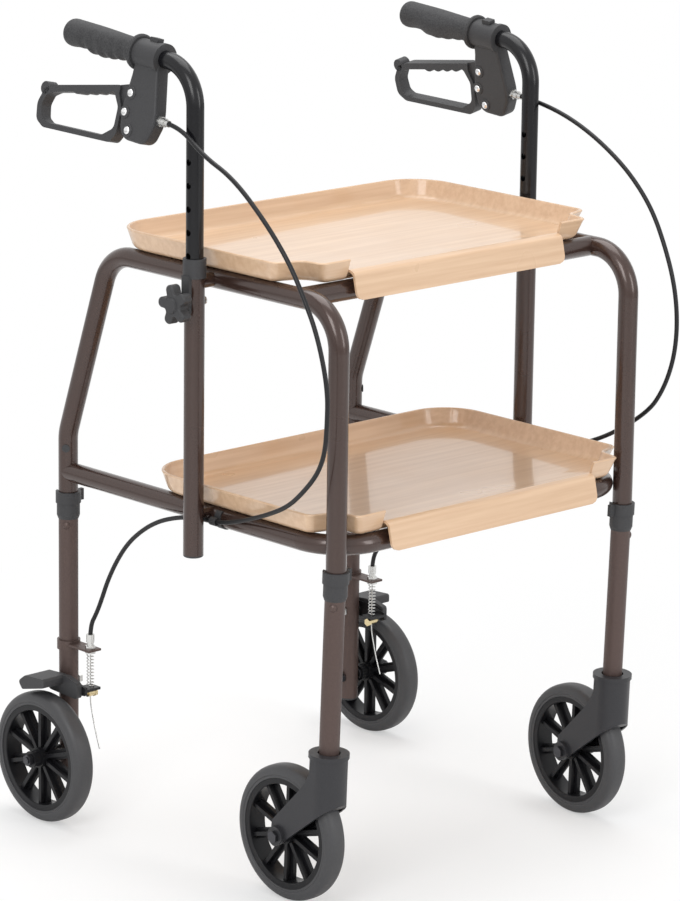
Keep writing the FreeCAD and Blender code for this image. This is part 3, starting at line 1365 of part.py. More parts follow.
# The pieces
both(side_frame(), "side_frame")
keep(lower_frame(), "lower_frame")
keep(cross_tube(), "upper_cross_tube")
both(handle_post(), "handle_post")
pair("post_spacers", *post_spacers())
pair("post_collars", post_cap())
pair("front_legs", front_leg())
pair("rear_legs", rear_leg())
pair("leg_collars", on_front_leg(collar()), on_rear_leg(collar()))
right_clips = group(on_front_leg(ring_clip("clip_turn")), on_rear_leg(ring_clip("clip_turn + 180")))
left_clips = group(on_front_leg(ring_clip("180 - clip_turn")), on_rear_leg(ring_clip("-clip_turn")))
keep(group(right_clips, mirror(left_clips)), "leg_clips")
pair("snap_buttons", on_front_leg(snap_button()), on_rear_leg(snap_button()))
post_plug = place(end_plug(("14", "post_wall")), (f"-{POST_X}", POST_Y, "post_bottom"))
leg_plug = place(end_plug(("14", "tube_wall")), ("-half_width", REAR_Y, "joint_z - rear_leg_length"))
knee = fuse(knee_plug("knee_plug_r", "2", "4"), knee_plug("knee_plug_r + 1.2", "-tube_wall - 0.05", "1"))
pair("tube_inserts", post_plug, leg_plug, knee, on_front_leg(bush()))
pair("brake_tabs", brake_tab())
pair("cable_clips", cable_clip())
pair("brake_pivots", brake_pivot())
pair("rear_axles", rear_axle())
pair("lower_adjusters", lower_adjuster())
pair("knob_bolts", knob_bolt())
for left in (False, True):
    brake_cable(left)
    brake_wire(left)
    brake_spring(left)
keep(place(tray(), ("0", CROSS_Y, "top_z")), "upper_tray")
keep(place(tray(), ("0", "front_y", "low_z")), "lower_tray")
both_casters(caster_fork(), "caster_fork")
both_casters(caster_bolts(), "caster_bolts")
both_casters(caster_wheel(hub("2 * (fork_r - fork_wall) - 1")), "caster_hub")
both_casters(caster_wheel(tyre()), "caster_tyre")
rear_hub, rear_tyre = rear_wheel()
both(rear_hub, "rear_hub")
both(rear_tyre, "rear_tyre")
both_handles(handle_tube(), "handle_tube")
both_handles(grip(), "grip")
both_handles(brake_housing(), "brake_housing")
both_handles(housing_rivets(), "housing_rivets")
both_handles(brake_lever(), "brake_lever")
both_handles(cable_adjuster(), "cable_adjuster")
both(star_knob(), "star_knob")
both(brake_shoe(), "brake_shoe")
both(brake_arm(), "brake_arm")
both(pinch_bolt(), "pinch_bolt")
doc.recompute()

# Check every object, then write each piece to its own file
broken = [f"{thing.Name} {thing.State}" for thing in doc.Objects if {"Invalid", "Error"} & set(thing.State)]
for thing in LEAVES:
    if thing.Shape.isNull() or not thing.Shape.isValid() or not thing.Shape.Solids:
        broken.append(f"{thing.Label} has no valid shape")
if broken:
    raise SystemExit("broken: " + "; ".join(broken))
for thing in LEAVES:
    thing.Shape.exportStep(f"parts/{thing.Label}.step")
    box = thing.Shape.BoundBox
    spans = [round(v, 1) for v in (box.XMin, box.XMax, box.YMin, box.YMax, box.ZMin, box.ZMax)]
    print(thing.Label, len(thing.Shape.Solids), round(thing.Shape.Volume / 1000, 1), spans)
print("pieces", len(LEAVES))
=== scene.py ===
"""Looks of the indoor walker with two trays, in metres and in the frame of its CAD model."""

import bmesh
import bpy
import math
from mathutils import Matrix, Vector


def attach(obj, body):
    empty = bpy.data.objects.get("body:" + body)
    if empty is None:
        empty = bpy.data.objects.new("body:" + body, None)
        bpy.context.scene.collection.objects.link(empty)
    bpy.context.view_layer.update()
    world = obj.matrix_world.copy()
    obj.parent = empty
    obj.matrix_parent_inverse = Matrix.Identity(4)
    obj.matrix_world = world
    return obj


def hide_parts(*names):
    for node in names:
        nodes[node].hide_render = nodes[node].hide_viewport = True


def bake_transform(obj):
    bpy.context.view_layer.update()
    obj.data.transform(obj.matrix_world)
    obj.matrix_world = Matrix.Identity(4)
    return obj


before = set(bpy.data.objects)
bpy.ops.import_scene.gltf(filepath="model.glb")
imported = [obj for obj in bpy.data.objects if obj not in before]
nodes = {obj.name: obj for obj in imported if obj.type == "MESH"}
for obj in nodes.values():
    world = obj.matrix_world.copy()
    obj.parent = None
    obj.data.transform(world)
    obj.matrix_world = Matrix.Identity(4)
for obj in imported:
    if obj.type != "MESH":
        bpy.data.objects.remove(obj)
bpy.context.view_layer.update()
scene = bpy.context.scene

# Sizes that the pieces below share with the CAD model
HALF_WIDTH = 0.2183
FRONT_Y = -0.238
LOW_Z = 0.4013
WIRE_Y = 0.162
POST = Vector((-0.2509, -0.049, 0.8884))
LEFT_DROP = 0.025
GRIP_RISE = math.radians(4.4)
BRAKE_ROLL = math.radians(12.0)
CABLE_RADIUS = 0.0025
WIRE_RADIUS = 0.0007

# Light on the object from all round, and how far the floor's shadow is lifted
AMBIENT = (0.60, 0.60, 0.60)
SHADOW_LIFT = 0.45


# Materials
def link(tree, source, target):
    tree.links.new(source, target)


def noise(tree, coordinates, scale, detail=3.0, stretch=(1.0, 1.0, 1.0), distortion=0.0):
    """A noise texture over the object's own coordinates."""
    place = tree.nodes.new("ShaderNodeMapping")
    place.inputs["Scale"].default_value = stretch
    made = tree.nodes.new("ShaderNodeTexNoise")
    made.inputs["Scale"].default_value = scale
    made.inputs["Detail"].default_value = detail
    made.inputs["Distortion"].default_value = distortion
    link(tree, coordinates, place.inputs["Vector"])
    link(tree, place.outputs["Vector"], made.inputs["Vector"])
    return made


def ramp(tree, factor, low, high, start=0.35, end=0.65):
    """Two tones with a soft change between them."""
    made = tree.nodes.new("ShaderNodeValToRGB")
    made.color_ramp.elements[0].position = start
    made.color_ramp.elements[0].color = (*low, 1.0)
    made.color_ramp.elements[1].position = end
    made.color_ramp.elements[1].color = (*high, 1.0)
    link(tree, factor, made.inputs["Fac"])
    return made


def spread(tree, factor, low, high):
    """A number that runs between two values."""
    made = tree.nodes.new("ShaderNodeMapRange")
    made.inputs["From Min"].default_value = 0.3
    made.inputs["From Max"].default_value = 0.7
    made.inputs["To Min"].default_value = low
    made.inputs["To Max"].default_value = high
    link(tree, factor, made.inputs["Value"])
    return made


def material(
    name, dark, light, rough, metal=0.0, grain=900.0, stretch=(1.0, 1.0, 1.0), bump=0.1, depth=0.0002,
    wear=0.05, wear_scale=12.0, coat=0.0, coat_rough=0.1, specular=0.5,
):
    """A finish with fine grain in its colour and surface and broad wear in its roughness."""
    made = bpy.data.materials.new(name)
    made.use_nodes = True
    tree = made.node_tree
    shader = tree.nodes["Principled BSDF"]
    shader.inputs["Metallic"].default_value = metal
    shader.inputs["Specular IOR Level"].default_value = specular
    shader.inputs["Coat Weight"].default_value = coat
    shader.inputs["Coat Roughness"].default_value = coat_rough
    coordinates = tree.nodes.new("ShaderNodeTexCoord").outputs["Object"]
    fine = noise(tree, coordinates, grain, 4.0, stretch)
    broad = noise(tree, coordinates, wear_scale, 2.0)
    tones = ramp(tree, fine.outputs["Fac"], dark, light)
    link(tree, tones.outputs["Color"], shader.inputs["Base Color"])
    roughness = spread(tree, broad.outputs["Fac"], rough - wear, rough + wear)
    link(tree, roughness.outputs["Result"], shader.inputs["Roughness"])
    relief = tree.nodes.new("ShaderNodeBump")
    relief.inputs["Strength"].default_value = bump
    relief.inputs["Distance"].default_value = depth
    link(tree, fine.outputs["Fac"], relief.inputs["Height"])
    link(tree, relief.outputs["Normal"], shader.inputs["Normal"])
    return made


def tray_material():
    """Wood-coloured moulding: long fine grain lines over two tones, under a gloss coat."""
    made = material(
        "tray_moulding", (0.62, 0.41, 0.255), (0.70, 0.485, 0.315), 0.32, grain=55.0,
        stretch=(0.12, 3.0, 3.0), bump=0.05, depth=0.0003, wear=0.05, coat=0.6, coat_rough=0.06,
    )
    return made


finishes = {
    "frame_paint": material(
        "frame_paint", (0.040, 0.020, 0.015), (0.060, 0.033, 0.026), 0.27, metal=0.35, grain=1400.0,
        bump=0.04, wear=0.04, coat=0.5, coat_rough=0.12,
    ),
    "leg_paint": material(
        "leg_paint", (0.075, 0.049, 0.043), (0.105, 0.072, 0.064), 0.42, metal=0.4, grain=1400.0, bump=0.06,
    ),
    "handle_gloss": material(
        "handle_gloss", (0.004, 0.004, 0.005), (0.007, 0.007, 0.009), 0.22, grain=1100.0, bump=0.04, specular=0.38,
    ),
    "plastic": material(
        "plastic", (0.034, 0.034, 0.036), (0.056, 0.056, 0.059), 0.50, grain=1600.0, bump=0.35, depth=0.0001,
        specular=0.32,
    ),
    "fork_plastic": material(
        "fork_plastic", (0.024, 0.024, 0.027), (0.036, 0.036, 0.040), 0.40, grain=1500.0, bump=0.2, specular=0.35,
    ),
    "rubber": material(
        "rubber", (0.028, 0.028, 0.030), (0.060, 0.060, 0.062), 0.60, grain=700.0, bump=0.6, depth=0.0003,
        specular=0.3,
    ),
    "hub_plastic": material(
        "hub_plastic", (0.006, 0.006, 0.007), (0.011, 0.011, 0.013), 0.36, grain=1200.0, bump=0.15, specular=0.25,
    ),
    "tyre_rubber": material(
        "tyre_rubber", (0.046, 0.046, 0.049), (0.064, 0.064, 0.067), 0.46, grain=1500.0, bump=0.25, specular=0.4,
    ),
    "zinc": material(
        "zinc", (0.55, 0.55, 0.54), (0.72, 0.72, 0.70), 0.30, metal=1.0, grain=1800.0, bump=0.1,
    ),
    "brass": material(
        "brass", (0.62, 0.50, 0.28), (0.75, 0.64, 0.40), 0.32, metal=1.0, grain=1500.0, bump=0.1,
    ),
    "jacket": material(
        "jacket", (0.008, 0.008, 0.009), (0.015, 0.015, 0.017), 0.42, grain=1200.0, bump=0.1, specular=0.3,
    ),
    "tray": tray_material(),
}

LOOKS = {
    "frame_paint": ["side_frame", "lower_frame", "upper_cross_tube", "handle_post", "post_spacers"],
    "leg_paint": ["front_legs", "rear_legs", "snap_buttons", "brake_tabs"],
    "handle_gloss": ["handle_tube"],
    "plastic": [
        "post_collars", "leg_collars", "leg_clips", "cable_clips", "tube_inserts", "star_knob",
        "brake_housing", "brake_lever", "brake_shoe",
    ],
    "fork_plastic": ["caster_fork"],
    "rubber": ["grip"],
    "hub_plastic": ["caster_hub", "rear_hub"],
    "tyre_rubber": ["caster_tyre", "rear_tyre"],
    "zinc": [
        "brake_pivots", "lower_adjusters", "knob_bolts", "brake_wire", "brake_spring",
        "housing_rivets", "cable_adjuster",
    ],
    "dark_bolt": ["rear_axles", "caster_bolts"],
    "handle_gloss_arm": ["brake_arm"],
    "brass": ["pinch_bolt"],
    "jacket": ["brake_cable"],
    "tray": ["upper_tray", "lower_tray"],
}
finishes["bright"] = material(
    "bright_rivet", (0.78, 0.78, 0.78), (0.90, 0.90, 0.90), 0.22, metal=1.0, grain=1500.0, bump=0.05, wear=0.04
)
finishes["dark_bolt"] = material(
    "dark_bolt", (0.05, 0.05, 0.055), (0.10, 0.10, 0.11), 0.36, metal=0.9, grain=1500.0, bump=0.1
)
finishes["handle_gloss_arm"] = material(
    "arm_steel", (0.014, 0.014, 0.015), (0.024, 0.024, 0.026), 0.38, metal=0.4, grain=1200.0, bump=0.1,
)


def paint(thing, finish):
    """Give every material slot of a piece one finish."""
    if not thing.material_slots:
        thing.data.materials.append(finish)
    for slot in thing.material_slots:
        slot.material = finish


for look, stems in LOOKS.items():
    for name, thing in nodes.items():
        if any(name == stem or name.rsplit("_", 1)[0] == stem for stem in stems):
            paint(thing, finishes[look])


# Cables and wires
def handle_spot(s, t, left):
    """The place of a point along the grip and below its axis, in the housing's plane."""
    turn = Matrix.Rotation(GRIP_RISE, 3, "X") @ Matrix.Rotation(BRAKE_ROLL, 3, "Y")
    spot = POST + turn @ Vector((0.0, s, -t))
    return Vector((-spot.x, spot.y, spot.z - LEFT_DROP)) if left else spot


RIGHT_RUN = [
    (49.2, 158, 401.3), (46.7, 112.8, 383), (44.2, 65.1, 343.4), (43.7, 29.5, 306.8), (43.7, 8.5, 276),
    (43.7, -14.1, 237.7), (43.7, -30.5, 184.7), (43.2, -29.3, 144.2), (42, -25, 115.1),
    (39.2, -12, 91.4), (34.7, 12.5, 67.5),
]
LEFT_RUN = [
    (48.7, 150, 389), (47.7, 103, 371), (46.5, 60, 347), (45.7, 30, 323), (45, 7, 297),
    (44.2, -11, 265), (43.8, -25, 232), (43.7, -32.5, 200), (43.7, -34, 166), (43, -29.5, 134),
    (40.5, -19, 103), (36, -3, 76.5),
]
LOW_RUN = [(28.7, 44, 43), (21.7, 86, 24), (17.2, 130, 8), (15.9, 161, -0.7), (15.9, 187, -2.3)]
BACK_RUN = [
    (15.7, 215, -5), (15.5, 243, -12), (14, 271, -22.5), (11.8, 298, -38), (9.3, 324, -58),
    (6.8, 346, -83), (4.2, 365, -111), (2, 378.5, -137),
]
CABLE_FOOT = 0.214
WIRE_FOOT = 0.140


def cable_route(left):
    """The outer cable's route in metres, from the upper ferrule to the lower adjuster."""
    side = 1 if left else -1
    points = [handle_spot(0.027, 0.064, left), handle_spot(0.003, 0.064, left)]
    for out, back, up in (LEFT_RUN if left else RIGHT_RUN) + LOW_RUN + BACK_RUN:
        x = side * (HALF_WIDTH + out / 1000)
        points.append(Vector((x, FRONT_Y + back / 1000, LOW_Z + up / 1000)))
    foot = Vector((side * HALF_WIDTH, WIRE_Y, CABLE_FOOT))
    return points + [foot + Vector((side * 0.0006, -0.0115, 0.033)), foot + Vector((0, 0, 0.016)), foot]


def wire_route(left):
    """The inner wire from the lower adjuster through the ledge, with its free tail."""
    foot = Vector(((1 if left else -1) * HALF_WIDTH, WIRE_Y, WIRE_FOOT))
    tail = [(0, 0, 0), (0, -0.0035, -0.014), (0, -0.009, -0.033), (0, -0.016, -0.051)]
    return [Vector((foot.x, foot.y, CABLE_FOOT - 0.001))] + [foot + Vector(step) for step in tail]


def spline_tube(name, points, radius, resolution=12):
    """A smooth round cord along a spline, as a mesh."""
    curve = bpy.data.curves.new(name, "CURVE")
    curve.dimensions = "3D"
    curve.bevel_depth = radius
    curve.bevel_resolution = 6
    curve.use_fill_caps = True
    spline = curve.splines.new("NURBS")
    spline.points.add(len(points) - 1)
    for point, spot in zip(spline.points, points):
        point.co = (*spot, 1.0)
    spline.order_u = 3
    spline.use_endpoint_u = True
    spline.resolution_u = resolution
    drawn = bpy.data.objects.new(name + "_line", curve)
    scene.collection.objects.link(drawn)
    bpy.context.view_layer.update()
    mesh = bpy.data.meshes.new_from_object(drawn.evaluated_get(bpy.context.evaluated_depsgraph_get()))
    bpy.data.objects.remove(drawn)
    mesh.name = name
    thing = bpy.data.objects.new(name, mesh)
    scene.collection.objects.link(thing)
    for face in mesh.polygons:
        face.use_smooth = True
    return thing


for side, left in (("right", False), ("left", True)):
    cable = spline_tube(f"cable_{side}", cable_route(left), CABLE_RADIUS)
    paint(cable, finishes["jacket"])
    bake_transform(cable)
    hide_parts(f"brake_cable_{side}")


def follow_arm(side, stem, finish):
    """A wire or spring of the frame, which the brake arm pulls at its lower end, copied in place from its CAD node;
    the copy does not move with the arm.
    """
    cad = nodes[f"brake_{stem}_{side}"]
    thing = bpy.data.objects.new(f"{stem}_{side}", cad.data.copy())
    scene.collection.objects.link(thing)
    paint(thing, finish)
    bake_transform(thing)
    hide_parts(cad.name)


for side in ("right", "left"):
    follow_arm(side, "wire", finishes["zinc"])
    follow_arm(side, "spring", finishes["zinc"])


# Modelled pieces
def corner_path(corners, closed=True, steps=8):
    """Points along straight edges that are joined by arcs; a corner is (u, v, radius)."""
    points = []
    for i, (u, v, radius) in enumerate(corners):
        here = Vector((u, v))
        if not radius or (not closed and i in (0, len(corners) - 1)):
            points.append(here)
            continue
        back = (Vector(corners[i - 1][:2]) - here).normalized()
        ahead = (Vector(corners[(i + 1) % len(corners)][:2]) - here).normalized()
        half = back.angle(ahead) / 2
        centre = here + (back + ahead).normalized() * (radius / math.sin(half))
        first = here + back * (radius / math.tan(half)) - centre
        last = here + ahead * (radius / math.tan(half)) - centre
        start = math.atan2(first.y, first.x)
        sweep = (math.atan2(last.y, last.x) - start + math.pi) % (2 * math.pi) - math.pi
        for k in range(steps + 1):
            angle = start + sweep * k / steps
            points.append(centre + Vector((math.cos(angle), math.sin(angle))) * radius)
    return points


def add_rings(shape, rings, closed):
    """Faces between neighbouring rings of points; returns the rings of vertices."""
    made = [[shape.verts.new(spot) for spot in ring] for ring in rings]
    for low, high in zip(made, made[1:]):
        last = len(low) if closed else len(low) - 1
        for k in range(last):
            after = (k + 1) % len(low)
            shape.faces.new((low[k], low[after], high[after], high[k]))
    return made


def finish_piece(name, shape, finish, body, nodes_replaced, bevel=0.0, sharp=38.0):
    """Turn a drawn shape in metres into a piece that rides on a body and stands for CAD nodes."""
    bmesh.ops.recalc_face_normals(shape, faces=shape.faces)
    mesh = bpy.data.meshes.new(name)
    shape.to_mesh(mesh)
    shape.free()
    thing = bpy.data.objects.new(name, mesh)
    scene.collection.objects.link(thing)
    for face in mesh.polygons:
        face.use_smooth = True
    mesh.set_sharp_from_angle(angle=math.radians(sharp))
    if bevel:
        softened = thing.modifiers.new("edges", "BEVEL")
        softened.width = bevel
        softened.segments = 3
        softened.limit_method = "ANGLE"
        softened.angle_limit = math.radians(sharp)
        softened.harden_normals = True
    paint(thing, finish)
    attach(thing, body)
    if nodes_replaced:
        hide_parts(*nodes_replaced)
    return thing


def plate(shape, outlines, thickness, place=Matrix.Identity(4)):
    """A flat piece with holes, drawn in the plane along the grip (y) and up (z), in millimetres."""
    edges = []
    for outline in outlines:
        ring = [shape.verts.new((-thickness / 2000, spot.x / 1000, spot.y / 1000)) for spot in outline]
        edges += [shape.edges.new((ring[k - 1], ring[k])) for k in range(len(ring))]
    filled = bmesh.ops.triangle_fill(shape, use_beauty=True, edges=edges)
    faces = [g for g in filled["geom"] if isinstance(g, bmesh.types.BMFace)]
    grown = bmesh.ops.extrude_face_region(shape, geom=faces)
    moved = [g for g in grown["geom"] if isinstance(g, bmesh.types.BMVert)]
    bmesh.ops.translate(shape, vec=(thickness / 1000, 0, 0), verts=moved)


def disc(shape, spot, radius, half, dome=0.0, segments=36):
    """A round boss across the housing's plane at (s, -t), with flat or domed ends; millimetres."""
    stations = [(-half, 0.0), (-half, radius - 0.8), (-half + 0.8, radius), (half - 0.8, radius)]
    stations += [(half, radius - 0.8), (half, 0.0)]
    if dome:
        steps = [k * math.pi / 10 for k in range(6)]
        cap = [(half + dome * math.cos(a), radius * math.sin(a)) for a in steps]
        stations = [(-x, r) for x, r in cap] + cap[::-1]
    rings = []
    for x, r in stations:
        ring = []
        for k in range(segments):
            a = 2 * math.pi * k / segments
            r_safe = max(r, 0.01)
            y, z = spot[0] + r_safe * math.cos(a), spot[1] + r_safe * math.sin(a)
            ring.append((x / 1000, y / 1000, z / 1000))
        rings.append(ring)
    made = add_rings(shape, rings, True)
    shape.faces.new(made[0])
    shape.faces.new(made[-1])


def on_handle(shape, left, rolled):
    """Move a shape drawn about the post axis, with +Y along the grip, to its place on a handle."""
    turn = Matrix.Rotation(GRIP_RISE, 4, "X")
    if rolled:
        turn = turn @ Matrix.Rotation(BRAKE_ROLL, 4, "Y")
    place = Matrix.Translation(POST) @ turn
    if left:
        flip = Matrix.Diagonal((-1.0, 1.0, 1.0, 1.0))
        place = Matrix.Translation((0, 0, -LEFT_DROP)) @ flip @ place
    shape.transform(place)


def smooth(value):
    value = min(max(value, 0.0), 1.0)
    return value * value * (3 - 2 * value)


GRIP_START, GRIP_END = 86.0, 204.0
FLANGE_R, FLANGE_END, GRIP_WAIST, GRIP_R = 19.5, 91.5, 13.6, 15.1
FINGERS, FINGER_PITCH = (98.0, 176.0), 15.6
FINGER_SIDE, PALM_SIDE = math.radians(222), math.radians(300)


def facing(angle, middle):
    """How far a direction round the grip faces another one, from 0 to 1."""
    return max(0.0, math.cos(angle - middle))


def grip_radius(s, angle):
    """Radius of the grip in millimetres: finger hollows outside, a palm swell inside and a flared end."""
    if s <= FLANGE_END:
        edge = min(s - GRIP_START, FLANGE_END - s)
        return FLANGE_R - 1.6 * (1 - smooth(edge / 1.8))
    radius = GRIP_WAIST + (GRIP_R - GRIP_WAIST) * smooth((s - FLANGE_END) / 70)
    radius += 2.2 * (1 - smooth((s - FLANGE_END) / 4))
    if FINGERS[0] < s < FINGERS[1]:
        wave = 0.5 - 0.5 * math.cos(2 * math.pi * (s - FINGERS[0]) / FINGER_PITCH)
        radius -= 1.9 * wave * facing(angle, FINGER_SIDE) ** 0.9
    swell = smooth((s - 104) / 40) * (1 - smooth((s - 150) / 26))
    radius += 3.4 * swell * facing(angle, PALM_SIDE) ** 1.2
    neck = smooth((s - 158) / 18) * (1 - smooth((s - 180) / 14))
    radius -= 1.3 * neck * facing(angle, math.radians(270))
    end = (s - (GRIP_END - 9)) / 9
    if end > 0:
        radius *= math.sqrt(max(0.0, 1 - end**3.6)) * 0.95 + 0.05 * (1 - end)
    return max(radius, 0.05)


def grip(side, left):
    shape = bmesh.new()
    steps = [GRIP_START + 0.45 * k for k in range(13)] + [FLANGE_END + 0.35 + 0.9 * k for k in range(114)]
    steps = [s for s in steps if s < GRIP_END - 9] + [GRIP_END - 9 + 9 * math.sin(k * math.pi / 28) for k in range(15)]
    rings = []
    for s in steps:
        ring = []
        for k in range(64):
            a = 2 * math.pi * k / 64
            r = grip_radius(s, a) / 1000
            ring.append((r * math.cos(a), s / 1000, r * math.sin(a)))
        rings.append(ring)
    made = add_rings(shape, rings, True)
    shape.faces.new(made[-1])
    shape.faces.new(made[0])
    on_handle(shape, left, False)
    finish_piece(f"grip_soft_{side}", shape, finishes["rubber"], f"handle_{side}", [f"grip_{side}"])


LEVER_OUTER = [
    (100, -38.5, 3), (204, -60, 30), (218, -66, 5), (225.5, -83, 14), (222, -101, 10), (209, -107.5, 12),
    (99.5, -101, 9), (92, -90, 9), (92, -62, 9), (100, -48, 6),
]
LEVER_HOLE = [
    (108, -47.5, 5), (203.5, -67.5, 14), (213.5, -73, 5), (218, -84, 10), (214.5, -97.5, 6),
    (206.5, -101.5, 8), (114.5, -96, 12), (97.5, -85, 9), (97.5, -62, 9),
]
LEVER_BLADE = [
    (79.5, -34.5, 0), (86, -34.5, 0), (104.5, -39.5, 0), (106.5, -48, 0), (96.5, -64, 0), (93.5, -64, 0),
    (79.5, -52.5, 0),
]
PIVOT = (79.5, -43.5)
RIVET_SPOTS = [PIVOT, (83.0, -64.5), (73.0, -82.5)]
RIDGES = (112.0, 172.0, 15.0, 2.6)


def ridged(outline):
    """Add the finger waves under the lever's upper bar."""
    start, end, pitch, height = RIDGES
    points = []
    for k, spot in enumerate(outline):
        points.append(spot)
        after = outline[(k + 1) % len(outline)]
        if not (spot.x < start and after.x > end and spot.y > -56):
            continue
        for step in range(int(end - start) + 1):
            s = start + step
            t = (s - spot.x) / (after.x - spot.x)
            wave = abs(math.sin(math.pi * (s - start) / pitch))
            points.append(Vector((s, spot.y + t * (after.y - spot.y) - height * wave)))
    return points


def lever(side, left):
    shape = bmesh.new()
    plate(shape, [corner_path(LEVER_OUTER), ridged(corner_path(LEVER_HOLE))], 14.0)
    plate(shape, [corner_path(LEVER_BLADE)], 8.0)
    disc(shape, (218.0, -66.0), 7.4, 7.0)
    disc(shape, PIVOT, 9.0, 4.0)
    on_handle(shape, left, True)
    name = f"lever_loop_{side}"
    finish_piece(name, shape, finishes["plastic"], f"lever_{side}", [f"brake_lever_{side}"], 0.0014)


def rivets(side, left):
    """Black bosses beside the housing with bright domed rivets, and the clamp's screw."""
    bosses = bmesh.new()
    for spot in RIVET_SPOTS:
        disc(bosses, spot, 7.2, 10.2)
    plate(bosses, [corner_path([(61, 15, 1), (73, 15, 1), (73, 19.4, 1), (61, 19.4, 1)])], 9.0)
    on_handle(bosses, left, True)
    finish_piece(f"housing_bosses_{side}", bosses, finishes["plastic"], f"handle_{side}", [], 0.0005)
    heads = bmesh.new()
    for spot in RIVET_SPOTS:
        disc(heads, spot, 4.3, 10.2, dome=1.9)
    on_handle(heads, left, True)
    finish_piece(
        f"rivet_heads_{side}", heads, finishes["bright"], f"handle_{side}", [f"housing_rivets_{side}"]
    )


# Wheels: centre and axle direction
WHEELS = {
    "caster_right": ((-0.2183, -0.173682, 0.075), (1.0, 0.0, 0.0)),
    "caster_left": ((0.222972, -0.173885, 0.074993), (0.996195, -0.087103, -0.003042)),
    "rear_right": ((-0.2538, 0.2, 0.075), (1.0, 0.0, 0.0)),
    "rear_left": ((0.2538, 0.2, 0.075), (1.0, 0.0, 0.0)),
}


def tyre(kind, side):
    """A smooth round-shouldered tyre with a bead beside the rim."""
    centre, axle = WHEELS[f"{kind}_{side}"]
    section = [(11.2, 61.0), (12.3, 61.4), (12.5, 63.2), (12.1, 64.0), (12.9, 65.0)]
    for k in range(1, 16):
        a = math.pi / 2 * k / 16
        section.append((12.9 * math.cos(a) ** 0.62, 65.0 + 10.0 * math.sin(a) ** 0.95))
    section.append((0.0, 75.0))
    section += [(-x, r) for x, r in section[-2::-1]]
    shape = bmesh.new()
    rings = []
    for x, r in section:
        angles = [2 * math.pi * k / 144 for k in range(144)]
        rings.append([(x / 1000, r / 1000 * math.cos(a), r / 1000 * math.sin(a)) for a in angles])
    made = add_rings(shape, rings, True)
    for k in range(144):
        after = (k + 1) % 144
        shape.faces.new((made[0][k], made[0][after], made[-1][after], made[-1][k]))
    turn = Vector((1, 0, 0)).rotation_difference(Vector(axle)).to_matrix().to_4x4()
    shape.transform(Matrix.Translation(centre) @ turn)
    body = f"caster_wheel_{side}" if kind == "caster" else f"rear_wheel_{side}"
    finish_piece(f"{kind}_tread_{side}", shape, finishes["tyre_rubber"], body, [f"{kind}_tyre_{side}"])


# Trays, drawn about the centre of the tube that carries the lip, in millimetres
TRAY_BASE = 11.35
TRAY_RISE, TRAY_DRAFT, TRAY_WALL = 24.0, 8.0, 2.5
LIP_HALF, LIP_NOTCH = 156.5, 2.0


def tray_chain(lean):
    """The wall's outline at a distance inside the rim, from one end of the lip round to the other."""
    half, back, front = 234.0 - lean, 294.0 - lean, lean - 12.0
    nose, hollow = 198.0 - lean, 203.0 - lean
    end = LIP_HALF + LIP_NOTCH
    right = [
        (-end, front, 0), (-nose, front, 8), (-hollow, 16 + lean, 12 + lean), (-half, 25.5 + lean, 10),
        (-half, back, 52 - lean),
    ]
    left = [(-x, y, r) for x, y, r in right[::-1]]
    return corner_path(right + left, closed=False, steps=12)


def tray_stations():
    """Distance inside the rim and height over the tray's underside, over the wall from outside to inside."""
    def slant(z):
        return TRAY_DRAFT * (1 - z / TRAY_RISE)

    angles = [k * math.pi / 12 for k in range(7)]
    stations = []
    for a in angles:
        z = 6.0 * (1 - math.cos(a))
        stations.append((slant(z) + 6.0 * (1 - math.sin(a)), z))
    stations += [(slant(z), z) for z in (10.0, 15.0, 20.0)]
    stations += [(2.05 - 1.75 * math.cos(a * 2), 22.2 + 1.75 * math.sin(a * 2)) for a in angles]
    stations += [(slant(z) + 2.7 + 0.3 * (z - 6) / 14, z) for z in (20.0, 15.0, 10.0)]
    for a in angles[::-1]:
        z = TRAY_WALL + 5.0 * (1 - math.cos(a))
        stations.append((slant(z) + 2.7 + 5.0 * (1 - math.sin(a)), z))
    return stations


LIP_TOP = [(8, 2.5, 0), (6, 2.5, 4), (-5, 12.6, 7), (-15, 9.1, 6), (-21.4, -19.5, 0)]
LIP_UNDER = [(8, 0, 0), (4.8, 0, 6), (-6, 9.9, 4.5), (-12.6, 6.4, 4), (-18.7, -20.0, 0)]
LIP_CORNER = 9.0


def lip_sheet(shape, corners, shrink):
    """One face of the lip, with its two lower corners rounded."""
    profile = corner_path(corners, closed=False, steps=8)
    straight = [profile[-2].lerp(profile[-1], k / 14) for k in range(1, 14)]
    profile = profile[:-1] + straight + [profile[-1]]
    rows = []
    for spot in profile:
        left = (spot - profile[-1]).length
        inset = 0.0
        if left < LIP_CORNER:
            inset = LIP_CORNER - math.sqrt(max(0.0, LIP_CORNER**2 - (LIP_CORNER - left) ** 2))
        half = LIP_HALF - min(inset, LIP_CORNER) - shrink
        rows.append([(half * (2 * k / 24 - 1) / 1000, spot.x / 1000, (TRAY_BASE + spot.y) / 1000) for k in range(25)])
    return add_rings(shape, rows, False)


